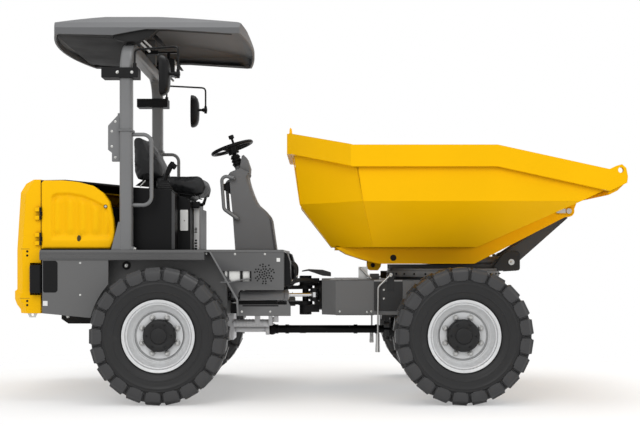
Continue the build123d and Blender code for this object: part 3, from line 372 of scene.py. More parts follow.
def lug_mesh(hand):
    """One lug on the outer circle at +Z of its own axes: X along the wheel's axis, Z outwards."""
    # plan outlines of the crown block (x across the tyre, y round it) at the tread and at its foot
    crown = [(0.006, -0.012), (0.036, -0.030), (0.150, -0.052), (0.150, 0.050), (0.062, 0.046),
             (0.034, 0.020)]
    foot = [(0.002, -0.020), (0.034, -0.038), (0.158, -0.058), (0.158, 0.056), (0.058, 0.054),
            (0.026, 0.028)]
    bm = bmesh.new()

    def corner(x, y, z):
        return bm.verts.new((x * hand, y, z - TREAD_CURVE * y * y))

    low, high = [[corner(x, y, z) for x, y in outline] for z, outline in ((-0.045, foot), (0.0, crown))]
    skin(bm, [low, high], False, False)
    bm.faces.new(high)
    bm.faces.new(list(reversed(low)))
    # the shoulder end, stepped down the sidewall, with a raised pad on its face
    for wide, pad_wide, x0, x1, z0, z1 in ((0.0565, 0.0500, 0.148, 0.1735, -0.010, -0.088),
                                           (0.0400, 0.0340, 0.1690, 0.1748, -0.036, -0.094)):
        across = [[corner(x, y, z) for y in (-half, half)]
                  for x, z, half in ((x0, z0, wide), (x1, z0 - 0.020, wide), (x1 - 0.001, z1, pad_wide),
                                     (x0 - 0.010, z1 - 0.004, pad_wide))]
        for (p, q), (r, s) in zip(across, across[1:] + across[:1]):
            bm.faces.new((p, q, s, r))
        for end, order in ((0, (0, 1, 2, 3)), (1, (0, 3, 2, 1))):
            bm.faces.new([across[n][end] for n in order])
    bmesh.ops.recalc_face_normals(bm, faces=bm.faces)
    edges = [e for e in bm.edges if e.calc_face_angle(0) > 0.5]
    bmesh.ops.bevel(bm, geom=edges, offset=0.0028, segments=1, affect="EDGES", clamp_overlap=True)
    return new_mesh("tyre_lug", bm, 30)


def groove_tie_mesh(hand):
    """Two thin ridges down the groove between two lugs, and the low bridge that ties the lugs there."""
    bm = bmesh.new()
    for side in (-1, 1):
        path = [(0.120, 0.003 * side, -0.022), (0.160, 0.006 * side, -0.030),
                (0.1705, 0.008 * side, -0.052), (0.1715, 0.004 * side, -0.084)]
        skin(bm, [[bm.verts.new((x * hand, y + 0.0022 * a, z + 0.004 * b))
                   for a, b in ((-1, -1), (1, -1), (1, 1), (-1, 1))] for x, y, z in path])
    low = ((0.085, -0.026, -0.060), (0.160, -0.030, -0.060), (0.160, 0.030, -0.060), (0.085, 0.026, -0.060))
    top = ((0.095, -0.020, -0.024), (0.152, -0.026, -0.018), (0.152, 0.026, -0.018), (0.095, 0.020, -0.024))
    skin(bm, [[bm.verts.new((x * hand, y, z)) for x, y, z in level] for level in (low, top)])
    bmesh.ops.recalc_face_normals(bm, faces=bm.faces)
    return new_mesh("tyre_groove_tie", bm, 30)


tyre_rubber = rubber_finish("tyre_rubber", (0.011, 0.011, 0.0115), (0.030, 0.029, 0.028), 0.5)
lug_rubber = rubber_finish("lug_rubber", (0.014, 0.014, 0.0145), (0.052, 0.050, 0.047), 0.42)
carcass = carcass_mesh()
lugs = {1: lug_mesh(1), -1: lug_mesh(-1)}
ties = {1: groove_tie_mesh(1), -1: groove_tie_mesh(-1)}
for corner, (axle_x, side) in WHEEL_PLACES.items():
    centre = (axle_x, WHEEL_MIDDLE * side, AXLE_HEIGHT)
    wheel_body = "wheel_" + corner
    mesh = carcass.copy()
    mesh.transform(Matrix.Translation(centre))
    new_piece("tyre_" + corner + "_carcass", mesh, tyre_rubber, wheel_body, ["tyre_" + corner])
    for hand, flank in ((1, "left"), (-1, "right")):
        shift = 0.0 if hand * side < 0 else HALF_PITCH
        for kind, meshes, finish, start in (("lugs", lugs, lug_rubber, shift),
                                            ("ties", ties, tyre_rubber, shift + HALF_PITCH)):
            spots = ring_of_points(centre, LUG_CIRCLE, LUG_COUNT, start)
            repeated("tyre_%s_%s_%s" % (corner, kind, flank), meshes[hand], spots, finish, wheel_body)


# ---------------------------------------------------------------- rims, nuts and hubs
# Pressed steel rims in silver paint, each a rolled barrel with a disc welded in, held by
# eight nuts on the black planetary hub whose plain end cap stands out through the disc.
def painted(name, colour, rough=0.42, peel=0.25, coat=0.0, metallic=0.0, mottle=0.06, rounding=0.002,
            dust=0.0, worn=None, gleam=0.4):
    """Sprayed or powder-coated steel: uneven gloss, orange peel, eased edges, a little dust low down,
    painted shade where faces meet.
    """
    material, tree, output = empty_material(name)
    place = node(tree, "TexCoord").outputs["Object"]
    cloud = noise(tree, place, 2.6, 6)
    tint = colour_steps(tree, cloud, ((0.3, times(colour, 1 - mottle)), (0.7, times(colour, 1 + mottle))))
    if dust:
        apart = node(tree, "SeparateXYZ", place)
        low = grey_steps(tree, apart.outputs["Z"], (0.25, dust), (0.95, 0.0))
        specks = grey_steps(tree, noise(tree, place, 38, 8), (0.45, 0.25), (0.7, 1.0))
        both = node(tree, "Math", low, specks)
        both.operation = "MULTIPLY"
        tint = mixed(tree, both.outputs[0], tint, (0.30, 0.28, 0.25))
    if worn:
        tint = edge_wear_and_highlight(tree, 0.53, tint, worn)
    gloss = grey_steps(tree, cloud, (0.25, rough * 0.82), (0.75, min(1, rough * 1.18)))
    # Painted shade, with some dirt: the colour darkens to 0.42 of itself where faces meet closely.
    tint = dirt_and_painted_shade(tree, tint, colour, 0.42)
    coated(tree, output, tint, gloss, noise(tree, place, 420, 2), peel, 0.0004, rounding,
           Metallic=metallic, Specular_IOR_Level=gleam, Coat_Weight=coat, Coat_Roughness=0.14)
    return material


def dress(finish, *nodes):
    """Gives CAD nodes their finish."""
    for node in nodes:
        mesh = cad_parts[node].data
        mesh.materials.clear()
        mesh.materials.append(finish)


rim_silver = painted("rim_silver", (0.70, 0.71, 0.72), rough=0.38, metallic=0.1, mottle=0.04, dust=0.25)
hub_black = painted("hub_black", (0.010, 0.010, 0.0105), rough=0.46, mottle=0.2, gleam=0.3)
nut_zinc = painted("nut_zinc", (0.50, 0.50, 0.49), rough=0.34, metallic=0.85, mottle=0.1)


def rim_mesh(side, turns=128):
    """Barrel, rolled lips and welded disc in one closed section, turned about the axle."""
    barrel = [(-0.140, 0.259), (-0.140, 0.219), (-0.100, 0.219), (-0.070, 0.197), (0.048, 0.197)]
    lip = [(0.1000, 0.2195), (0.1180, 0.2200), (0.1250, 0.2212), (0.1295, 0.2250), (0.1305, 0.2300),
           (0.1315, 0.2370), (0.1345, 0.2400), (0.1365, 0.2480), (0.1400, 0.2530), (0.1400, 0.2575),
           (0.1385, 0.2590), (0.1345, 0.2590), (0.1320, 0.2570), (0.1312, 0.2300), (0.1000, 0.2285),
           (0.0760, 0.2060), (-0.066, 0.206), (-0.094, 0.228), (-0.131, 0.228), (-0.131, 0.259)]
    profile = barrel + [(0.0430, 0.1850), (0.0430, 0.1153), (0.0550, 0.1160), (0.0550, 0.1655),
                        (0.0400, 0.1690), (0.0400, 0.1800), (0.0585, 0.1800), (0.0600, 0.1850),
                        (0.0640, 0.1885), (0.0690, 0.1905), (0.0700, 0.1935), (0.0760, 0.1985)] + lip
    bm = bmesh.new()
    lathe(bm, [(y * side, r) for y, r in profile], turns)
    return new_mesh("rim", bm, 40)


def stack(bm, levels, sides, bottom=True):
    """Rings about the Z axis, one for each (height, radius), joined and capped."""
    rings = [[bm.verts.new((r * math.cos(a), r * math.sin(a), z)) for a in full_turn(sides)]
             for z, r in levels]
    skin(bm, rings, bottom)


def hex_nut_mesh(across=0.030, height=0.017, stud=0.009):
    """Nut with a domed washer face and the end of its stud, standing along +Z."""
    bm = bmesh.new()
    stack(bm, [(-0.002, across * 0.68), (0.002, across * 0.68), (0.003, across * 0.62)], 20)
    stack(bm, [(0.002, across * 0.577), (height - 0.002, across * 0.577), (height, across * 0.50)], 6)
    stack(bm, [(height - 0.001, stud), (height + 0.006, stud), (height + 0.0075, stud * 0.8)], 12)
    return new_mesh("hex_nut", bm, 30)


def hub_mesh(side, turns=64):
    """Planetary hub: its flange against the disc, the stepped drum and the plain end cap."""
    profile = [(0.017, 0.0), (0.017, 0.172), (0.0425, 0.172), (0.0425, 0.1145), (0.092, 0.1145),
               (0.0945, 0.1120), (0.098, 0.1120), (0.1005, 0.1140), (0.110, 0.1100), (0.1135, 0.1040),
               (0.1135, 0.0720), (0.1115, 0.0690), (0.1115, 0.0600), (0.1180, 0.0560), (0.1205, 0.0500),
               (0.1205, 0.0)]
    bm = bmesh.new()
    lathe(bm, [(y * side, max(r, 0.0001)) for y, r in profile], turns, closed=False)
    return new_mesh("hub", bm, 40)


def facing_ring(centre, side, radius, proud, angles):
    """Spots on a circle about a wheel's axis, facing out along that axis."""
    out = Vector((0, side, 0))
    ways = [(math.cos(a), 0, math.sin(a)) for a in angles]
    return [(centre + Vector((x * radius, side * proud, z * radius)), out, (x, 0, z)) for x, y, z in ways]


NUT_CIRCLE, CAP_CIRCLE = 0.1375, 0.088
wheel_nut = hex_nut_mesh()
cap_screw = hex_nut_mesh(0.013, 0.007, 0.003)
for corner, (axle_x, side) in WHEEL_PLACES.items():
    centre = Vector((axle_x, WHEEL_MIDDLE * side, AXLE_HEIGHT))
    wheel_body = "wheel_" + corner
    for label, maker, finish in (("rim", rim_mesh, rim_silver), ("hub", hub_mesh, hub_black)):
        mesh = maker(side)
        mesh.transform(Matrix.Translation(centre))
        new_piece("%s_%s_turned" % (label, corner), mesh, finish, wheel_body, ["%s_%s" % (label, corner)])
    spots = facing_ring(centre, side, NUT_CIRCLE, 0.0555, [(n + 0.5) * math.pi / 4 for n in range(8)])
    repeated("nuts_" + corner, wheel_nut, spots, nut_zinc, wheel_body)
    spots = facing_ring(centre, side, CAP_CIRCLE, 0.1136, [n * math.pi / 3 for n in range(6)])
    repeated("cap_screws_" + corner, cap_screw, spots, hub_black, wheel_body)


# ---------------------------------------------------------------- deck and its rails
# Steel deck on the rear chassis under a dark treaded mat, with a ribbed extrusion screwed along
# each side and folded skirts before and behind each rear wheel, in satin grey powder coat.
CHASSIS_GREY = (0.062, 0.062, 0.0640)
chassis_coat = painted("chassis_grey", CHASSIS_GREY, rough=0.44, dust=0.12, worn=(0.14, 0.14, 0.14),
                       gleam=0.22)
# A darker copy of the chassis grey: painted shade for parts that stand in shadow.
shaded_chassis_coat = painted("chassis_shadow_grey", (0.028, 0.028, 0.029), rough=0.5, dust=0.1, gleam=0.2)
bright_screw = painted("bright_screw", (0.62, 0.62, 0.60), rough=0.28, metallic=0.9, mottle=0.12)
blank_plate = painted("blank_plate", (0.78, 0.78, 0.76), rough=0.4, mottle=0.03)
black_steel = painted("black_steel", (0.009, 0.009, 0.0095), rough=0.5, dust=0.05, gleam=0.14)
dress(chassis_coat, "rear_frame", "deck", "side_panels")
dress(black_steel, "rear_axle", "under_guard", "engine")
RIGHT, LEFT = -1, 1


def prism(bm, outline, lo, hi, plane="XZ"):
    """Solid of an outline in one plane, from lo to hi along the axis across it."""
    across = {"YZ": 0, "XZ": 1, "XY": 2}[plane]
    skin(bm, [[bm.verts.new((*p[:across], w, *p[across:])) for p in outline] for w in (lo, hi)])


def slab(bm, x, y, z):
    """Box between two values on each axis."""
    prism(bm, [(x[0], z[0]), (x[1], z[0]), (x[1], z[1]), (x[0], z[1])], min(y), max(y))


def rod(bm, start, end, radius, sides=20, far_radius=None):
    """Round bar between two points, tapered where its far radius is given."""
    start, end = Vector(start), Vector(end)
    turn = (end - start).to_track_quat("Z", "Y")
    rings = []
    for middle, r in ((start, radius), (end, radius if far_radius is None else far_radius)):
        rings.append([bm.verts.new(middle + turn @ Vector((r * math.cos(a), r * math.sin(a), 0)))
                      for a in full_turn(sides)])
    skin(bm, rings)


def made(name, bm, finish, body, ease=0.0015, smooth=35):
    """A piece from a bmesh, its sharp edges eased by a small bevel."""
    thing = new_piece(name, new_mesh(name, bm, smooth), finish, None)
    if ease:
        bevel = thing.modifiers.new("eased", "BEVEL")
        bevel.width = ease
        bevel.segments = 2
        bevel.limit_method = "ANGLE"
        bevel.angle_limit = math.radians(40)
        bevel.harden_normals = True
    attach(thing, body)
    return thing


def dome_screw_mesh(radius=0.009, height=0.005):
    """Button-head screw with a round socket and a thin washer, standing along +Z."""
    bm = bmesh.new()
    stack(bm, [(-0.001, radius * 1.45), (0.0012, radius * 1.45), (0.0013, radius),
               (height * 0.55, radius * 0.94), (height * 0.88, radius * 0.72), (height, radius * 0.48),
               (height * 0.35, radius * 0.44)], 18, False)
    return new_mesh("dome_screw", bm, 40)


dome_screw = dome_screw_mesh()
rail_bm, mat_bm = bmesh.new(), bmesh.new()
for side in (RIGHT, LEFT):
    for z0, z1, proud in ((1.0275, 1.036, 0.003), (1.0405, 1.0455, 0.0015), (1.0500, 1.0550, 0.0015),
                          (1.0595, 1.0645, 0.0015), (1.0700, 1.0810, 0.003)):
        slab(rail_bm, (-1.993, -0.810), (side * 0.7595, side * (0.760 + proud)), (z0, z1))
    for x0, x1 in ((-1.997, -1.991), (-0.812, -0.806)):
        slab(rail_bm, (x0, x1), (side * 0.737, side * 0.762), (1.026, 1.082))
made("deck_rail_ribs", rail_bm, chassis_coat, "rear_chassis", 0.0012)


def tread_plate(name, colour):
    """Dark deck face with small crossed bars standing up from it."""
    material, tree, output = empty_material(name)
    place = node(tree, "TexCoord").outputs["Object"]
    heights = []
    for turn in (0.78, -0.78):
        mapping = node(tree, "Mapping", Vector=place, Rotation=(0, 0, turn), Scale=(38, 16, 1))
        cells = node(tree, "TexBrick", Vector=mapping.outputs[0], Scale=1.0, Mortar_Size=0.16,
                     Color1=(1, 1, 1, 1), Color2=(0, 0, 0, 1), Mortar=(0, 0, 0, 1))
        heights.append(cells.outputs["Color"])
    peak = node(tree, "Math", *heights)
    peak.operation = "MAXIMUM"
    tint = colour_steps(tree, peak.outputs[0], ((0.0, times(colour, 0.7)), (1.0, times(colour, 1.5))))
    coated(tree, output, tint, 0.6, peak.outputs[0], 1.0, 0.002)
    return material


deck_tread = tread_plate("deck_tread", (0.035, 0.035, 0.036))
slab(mat_bm, (-1.030, -0.240), (-0.745, 0.745), (1.0975, 1.1005))
made("deck_mat", mat_bm, deck_tread, "rear_chassis", 0.001)


def on_side(side, x, out, z):
    """A spot on one side of the machine, facing out from it."""
    return ((x, side * out, z), (0, side, 0), (1, 0, 0))


# The screws, the blank plates, the lamp pockets and the toe-holds of the skirts.
SKIRT_FACE = 0.757
screws = []
skirt_bm, plate_bm, pocket_bm, toe_bm, hole_bm = [bmesh.new() for n in range(5)]
for side in (RIGHT, LEFT):
    face = side * SKIRT_FACE
    for x, z in ((-1.703, 1.004), (-1.703, 0.773), (-0.585, 1.068), (-0.368, 1.068), (-0.330, 0.652),
                 (-0.535, 0.652)):
        screws.append(on_side(side, x, SKIRT_FACE, z))
    # blank plates riveted on: two small squares
    slab(plate_bm, (-1.972, -1.938), (face, face + side * 0.002), (0.694, 0.730))
    slab(plate_bm, (-0.284, -0.258), (face, face + side * 0.002), (1.013, 1.040))
    # pocket beside the tail lamp
    outline = [(-1.972, 0.800), (-1.964, 0.790), (-1.880, 0.790), (-1.866, 0.804), (-1.866, 1.006),
               (-1.880, 1.020), (-1.972, 1.020)]
    prism(pocket_bm, outline, face - side * 0.004, face + side * 0.0015)
    # folded flange that slants down to the toe of the wheel arch, and the flange at the foot
    prism(skirt_bm, [(-0.771, 1.083), (-0.757, 1.083), (-0.563, 0.744), (-0.556, 0.622), (-0.570, 0.621),
                     (-0.576, 0.737)], face - side * 0.035, face + side * 0.003)
    prism(skirt_bm, [(-0.690, 0.868), (-0.628, 0.868), (-0.505, 0.892), (-0.470, 0.892), (-0.470, 0.886),
                     (-0.505, 0.885), (-0.628, 0.861), (-0.690, 0.861)], face - side * 0.030,
          face + side * 0.002)
    # toe-hold: a bright step plate inside its opening with one dark bar across it
    slab(toe_bm, (-0.660, -0.474), (face - side * 0.020, face - side * 0.015), (0.866, 0.950))
    slab(hole_bm, (-0.548, -0.530), (face - side * 0.016, face - side * 0.006), (0.868, 0.948))
    slab(hole_bm, (-0.478, -0.466), (face - side * 0.016, face + side * 0.0015), (0.874, 0.944))
    # slots of the steering ram's window: a dark lower lip, painted shade of the gap under the ram
    slab(hole_bm, (-0.530, -0.270), (face - side * 0.012, face + side * 0.001), (0.690, 0.700))
made("skirt_flanges", skirt_bm, painted("skirt_flange", (0.17, 0.171, 0.173), rough=0.38), "rear_chassis")
made("blank_plates", plate_bm, blank_plate, "rear_chassis", 0.0006)
moulded_black = painted("moulded_black", (0.008, 0.008, 0.0085), rough=0.42, peel=0.6, rounding=0.003,
                        gleam=0.14)
made("lamp_pockets", pocket_bm, moulded_black, "rear_chassis", 0.002)
made("toe_hold_plates", toe_bm, painted("step_zinc", (0.72, 0.72, 0.70), rough=0.34, metallic=0.25),
     "rear_chassis")
made("toe_hold_bars", hole_bm, black_steel, "rear_chassis", 0.001)
repeated("skirt_screws", dome_screw, screws, bright_screw, "rear_chassis", 0.6)


def vent_hole_mesh():
    """One punched vent hole with its pressed lip, drawn as a short dark dish whose black is painted shade.
    """
    bm = bmesh.new()
    stack(bm, [(0.0002, 0.0062), (0.0012, 0.0056), (0.0010, 0.0046), (0.0004, 0.0040)], 12, False)
    return new_mesh("vent_hole", bm, 40)


# Vents punched in a round field in each front skirt, fewer in its outer rings.
VENT_X, VENT_Z = -0.372, 0.925
vents = []
for side in (RIGHT, LEFT):
    for ring, count in ((0.0, 1), (0.018, 6), (0.036, 12), (0.054, 18), (0.070, 20)):
        for n in range(count):
            a = 2 * math.pi * n / count + ring * 20
            if ring > 0.05 and n % 3 == 0:
                continue
            vents.append(on_side(side, VENT_X + ring * math.cos(a), SKIRT_FACE, VENT_Z + ring * math.sin(a)))
repeated("skirt_vents", vent_hole_mesh(), vents, black_steel, "rear_chassis")

# Big washered bolts that hold the arch plates, with a black cup round each.
cup_bm, bolts = bmesh.new(), []
for side in (RIGHT, LEFT):
    centre = Vector((-1.400, side * 0.585, 0.985))
    out = Vector((0, side, 0))
    rod(cup_bm, centre, centre + out * 0.010, 0.030, 32)
    bolts.append((centre + out * 0.010, out, (1, 0, 0)))
made("arch_bolt_cups", cup_bm, black_steel, "rear_chassis", 0.002)
repeated("arch_bolts", hex_nut_mesh(0.022, 0.012, 0.006), bolts, bright_screw, "rear_chassis")

# Guard under the radiator: its bolts, its lip and the zinc lashing eyes.
lip_bm, guard_bolts = bmesh.new(), []
for y in (-0.30, 0.30):
    prism(lip_bm, [(-1.955, 0.618), (-1.955, 0.572), (-1.902, 0.536), (-1.718, 0.536), (-1.670, 0.572),
                   (-1.670, 0.618)], y - 0.004, y + 0.004)
    for x, z in ((-1.905, 0.592), (-1.70, 0.590)):
        guard_bolts.append(((x, y + math.copysign(0.004, y), z), (0, math.copysign(1, y), 0), (1, 0, 0)))
made("guard_lips", lip_bm, black_steel, "rear_chassis")
repeated("guard_bolts", hex_nut_mesh(0.020, 0.010, 0.005), guard_bolts, bright_screw, "rear_chassis")
dress(bright_screw, "lashing_eyes")

# Tail lamps: black moulded boxes with a dark lens and its ribs, facing back.
dress(moulded_black, "tail_lamps")
lens_finish = painted("dark_lens", (0.05, 0.006, 0.006), rough=0.12, coat=1.0, mottle=0.1)
amber_finish = painted("amber_lens", (0.20, 0.045, 0.004), rough=0.12, coat=1.0, mottle=0.1)
lens_bm, amber_bm, rib_bm = [bmesh.new() for n in range(3)]
for side in (RIGHT, LEFT):
    y0, y1 = sorted((side * 0.606, side * 0.740))
    slab(lens_bm, (-2.0745, -2.070), (y0, y1), (0.862, 0.980))
    slab(amber_bm, (-2.0745, -2.070), (y0, y1), (0.794, 0.858))
    for z in (0.80, 0.815, 0.83, 0.845, 0.875, 0.89, 0.905, 0.92, 0.935, 0.95, 0.965):
        slab(rib_bm, (-2.0755, -2.073), (y0, y1), (z, z + 0.002))
    slab(rib_bm, (-2.060, -2.000), (side * 0.744, side * 0.750), (0.800, 0.975))
made("tail_lenses", lens_bm, lens_finish, "rear_chassis", 0.002)
made("tail_flashers", amber_bm, amber_finish, "rear_chassis", 0.002)
made("tail_lens_ribs", rib_bm, moulded_black, "rear_chassis", 0.0005)


# ---------------------------------------------------------------- counterweight, hood and engine doors
# Yellow painted rear: a cast counterweight below, a pressed hood above, and one pressed door
# on each side with upright flutes in a shallow panel, black hinges and a flush lock.
SIGNAL_YELLOW = (0.98, 0.525, 0.001)
body_yellow = painted("body_yellow", SIGNAL_YELLOW, rough=0.42, mottle=0.02, peel=0.2, rounding=0.006,
                      gleam=0.08)
dress(body_yellow, "rear_hood")
# Near black for seals and the grille's mesh, and painted shade for the dark inside slots, vents, holes and
# gaps.
black_seal_and_gap_shade = painted("black_seal_and_gap_shade", (0.006, 0.006, 0.006), rough=0.8)
DOOR_FOOT, DOOR_TOP, DOOR_TALL = 1.106, 1.606, 0.500
DOOR_FACE, DOOR_BACK = 0.705, 0.662
FLUTE_PITCH = 0.094
HINGE_X = -2.003
LOCK_X, LOCK_Z = -1.530, 1.415
DOOR_FRONT = ((1.106, -1.497), (1.175, -1.468), (1.230, -1.462), (1.330, -1.474), (1.450, -1.500),
              (1.512, -1.545), (1.566, -1.620), (1.594, -1.730), (1.606, -1.842))
POCKET_TOP = ((-1.925, 1.500), (-1.890, 1.517), (-1.800, 1.520), (-1.700, 1.503), (-1.620, 1.472),
              (-1.560, 1.440), (-1.49, 1.40))


def along(table, at):
    """Value at a place in a table of (place, value) rows, in a straight line between rows."""
    if at <= table[0][0]:
        return table[0][1]
    for (a, low), (b, high) in zip(table, table[1:]):
        if at <= b:
            return low + (high - low) * (at - a) / (b - a)
    return table[-1][1]


def step(low, high, value):
    """Rises smoothly from 0 at low to 1 at high, or falls where low is the greater."""
    t = min(1.0, max(0.0, (value - low) / (high - low)))
    return t * t * (3 - 2 * t)


def door_mesh(side):
    """Pressed skin with rolled edges, a sunk panel and five flutes, and its inner face."""
    bm = bmesh.new()
    rows, columns = 90, 150
    grid = []
    for j in range(rows + 1):
        v = j / rows
        z = DOOR_FOOT + DOOR_TALL * (1 - (1 - v) ** 1.6)
        front = along(DOOR_FRONT, z)
        rear = -2.000 + 0.016 * step(1.585, DOOR_TOP, z)
        line = []
        for i in range(columns + 1):
            u = i / columns
            x = rear + (front - rear) * u
            top = along(POCKET_TOP, x)
            near_edge = min(x - rear, front - x, z - DOOR_FOOT, (DOOR_TOP - z) * 1.3)
            inside = step(0.0, 0.022, top - z) * step(0.0, 0.03, x + 1.935)
            inside = inside * step(0.0, 0.05, z - 1.165) * step(0.02, 0.05, front - x)
            flute = 0.5 + 0.5 * math.cos(2 * math.pi * (x + 1.884) / FLUTE_PITCH)
            rise = step(0.02, 0.075, top - z) * step(0.0, 0.07, z - 1.185)
            rise = rise * step(-1.935, -1.925, x) * step(-1.50, -1.54, x)
            depth = inside * (0.021 - 0.019 * rise * flute ** 0.8)
            roll = 0.012 * (1 - math.sqrt(max(0.0, 1 - (1 - min(1.0, near_edge / 0.014)) ** 2)))
            line.append(bm.verts.new((x, side * (DOOR_FACE - depth - roll), z)))
        grid.append(line)
    for j in range(rows):
        for i in range(columns):
            bm.faces.new((grid[j][i], grid[j][i + 1], grid[j + 1][i + 1], grid[j + 1][i]))
    rim = grid[0] + [row[-1] for row in grid[1:]] + grid[-1][-2::-1] + [row[0] for row in grid[-2:0:-1]]
    back = [bm.verts.new((v.co.x, side * DOOR_BACK, v.co.z)) for v in rim]
    inner = [bm.verts.new((v.co.x + (0.014 if v.co.x < -1.75 else -0.014), side * DOOR_BACK,
                           v.co.z + (0.014 if v.co.z < 1.3 else -0.014))) for v in rim]
    deep = [bm.verts.new((v.co.x, side * 0.678, v.co.z)) for v in inner]
    skin(bm, [rim, back, inner, deep], first=False)
    return new_mesh("engine_door", bm, 50)


for label, side in (("right", RIGHT), ("left", LEFT)):
    body = "door_" + label
    new_piece("engine_door_skin_" + label, door_mesh(side), body_yellow, body, ["engine_door_" + label])
    dark = bmesh.new()
    face = side * DOOR_FACE
    rod(dark, (LOCK_X, face - side * 0.010, LOCK_Z), (LOCK_X, face + side * 0.0005, LOCK_Z), 0.0145, 28)
    prism(dark, [(-1.737, 1.166), (-1.722, 1.158), (-1.712, 1.172), (-1.711, 1.190), (-1.716, 1.203),
                 (-1.728, 1.207), (-1.738, 1.192)], face - side * 0.006, face + side * 0.0006)
    lock_dark = painted("lock_dark_" + label, (0.06, 0.045, 0.012), rough=0.3, metallic=0.5)
    made("door_lock_" + label, dark, lock_dark, body, 0.0015)
    lock = bmesh.new()
    rod(lock, (LOCK_X, face, LOCK_Z), (LOCK_X, face + side * 0.003, LOCK_Z), 0.0085, 24)
    slab(lock, (-1.5315, -1.5285), (face + side * 0.002, face + side * 0.0036), (1.409, 1.421))
    made("door_key_barrel_" + label, lock, nut_zinc, body, 0.0006)
    hinge, fixed = bmesh.new(), bmesh.new()
    for z in (1.178, 1.363):
        rod(hinge, (HINGE_X, side * 0.712, z - 0.015), (HINGE_X, side * 0.712, z + 0.015), 0.0068, 20)
        slab(hinge, (HINGE_X, -1.990), (side * 0.703, side * 0.708), (z - 0.015, z + 0.015))
        for low in (z - 0.0453, z + 0.0153):
            rod(fixed, (HINGE_X, side * 0.712, low), (HINGE_X, side * 0.712, low + 0.030), 0.0073, 20)
            slab(fixed, (-2.012, HINGE_X), (side * 0.691, side * 0.7125), (low, low + 0.030))
    made("door_hinge_leaves_" + label, hinge, moulded_black, body, 0.0008)
    made("hood_hinge_knuckles_" + label, fixed, moulded_black, "rear_chassis", 0.0008)

# The black seal strip under the doors and behind them, its black partly painted shade of the door's gap; the
# screws in the hood's recesses; and painted shade, in a darker amber, along the moulded line between the
# hood and the counterweight.
seal_bm, crease_bm, hood_screws = bmesh.new(), bmesh.new(), []
for side in (RIGHT, LEFT):
    slab(seal_bm, (-2.004, -1.500), (side * 0.640, side * 0.696), (1.0985, 1.1045))
    slab(seal_bm, (-2.0055, -2.0035), (side * 0.640, side * 0.690), (1.100, 1.604))
    for z in (1.088, 1.058, 0.726, 0.696):
        hood_screws.append(((-2.105, side * 0.689, z), (0, side, 0), (0, 0, 1)))
    # thin darker amber slabs: painted shade along the crease
    for x0, x1, z0, z1 in ((-2.150, -2.088, 1.104, 1.108), (-2.160, -2.088, 0.744, 0.748)):
        slab(crease_bm, (x0, x1), (side * 0.6895, side * 0.6905), (z0, z1))
slab(crease_bm, (-2.1948, -2.1935), (-0.62, 0.62), (1.098, 1.103))
made("door_seals", seal_bm, black_seal_and_gap_shade, "rear_chassis", 0)
made("hood_crease_lines", crease_bm, painted("crease_shade_amber", (0.50, 0.27, 0.002), rough=0.5),
     "rear_chassis", 0)
repeated("hood_screws", dome_screw, hood_screws, black_steel, "rear_chassis", 0.8)

# Slatted grille in the hood's back for the radiator's air, black, with a black sheet behind for the mesh
# and, as painted shade, the dark inside.
grille_bm, slat_bm = bmesh.new(), bmesh.new()
for n in range(15):
    z = 1.168 + n * 0.0195
    prism(slat_bm, [(-0.385, z), (0.385, z), (0.385, z + 0.007), (-0.385, z + 0.007)], -2.1985, -2.1945,
          "YZ")
prism(grille_bm, [(-0.40, 1.15), (0.40, 1.15), (0.40, 1.44), (0.36, 1.47), (-0.36, 1.47), (-0.40, 1.44)],
      -2.1955, -2.1870, "YZ")
made("rear_grille_mesh", grille_bm, black_seal_and_gap_shade, "rear_chassis", 0.002)
made("rear_grille_slats", slat_bm, moulded_black, "rear_chassis", 0.001)


# ---------------------------------------------------------------- roll bar, roof and mirrors
# Square steel hoop in light grey paint, folded down at a flange above the seat's back; moulded
# plastic roof on two carriers, lined below; black clamps hold the mirrors and the work lamp.
post_grey = painted("post_grey", (0.168, 0.170, 0.173), rough=0.4)
roof_plastic = painted("roof_plastic", (0.135, 0.137, 0.141), rough=0.62, peel=1.2, gleam=0.2)
roof_lining = painted("roof_lining", (0.014, 0.014, 0.0145), rough=0.7, peel=0.8, gleam=0.15)
clear_lamp = painted("clear_lamp", (0.72, 0.72, 0.70), rough=0.1, coat=1.0, mottle=0.02)
dress(post_grey, "roll_bar_lower", "roll_bar_upper", "grab_rails", "console_grab_bar")
dress(roof_plastic, "canopy")
POST_X = -1.378
clamp_bm, clamp_bolts, post_bolts, ear_bm = bmesh.new(), [], [], bmesh.new()
for side in (RIGHT, LEFT):
    slab(clamp_bm, (-1.549, -1.284), (side * 0.645, side * 0.771), (2.343, 2.416))
    for x in (-1.432, -1.327):
        clamp_bolts.append(on_side(side, x, 0.771, 2.380))
    # flange where the hoop folds, with its four bolts, and the foot's screws
    for z0, z1 in ((1.957, 1.9635), (1.9650, 1.9715)):
        slab(ear_bm, (POST_X - 0.052, POST_X + 0.052), (side * 0.655, side * 0.759), (z0, z1))
    for x, z in ((-1.480, 1.850), (-1.480, 1.960), (-1.455, 2.030), (-1.455, 1.770)):
        post_bolts.append(on_side(side, x, 0.727, z))
    for x, z in ((-1.405, 1.106), (-1.310, 1.106)):
        post_bolts.append(on_side(side, x, 0.7475, z))
made("mirror_clamps", clamp_bm, black_steel, "rear_chassis", 0.003)
made("hoop_fold_flanges", ear_bm, post_grey, "rear_chassis", 0.001)
repeated("mirror_clamp_bolts", hex_nut_mesh(0.017, 0.008, 0.004), clamp_bolts, bright_screw, "rear_chassis")
repeated("post_bolts", dome_screw, post_bolts, bright_screw, "rear_chassis", 0.7)

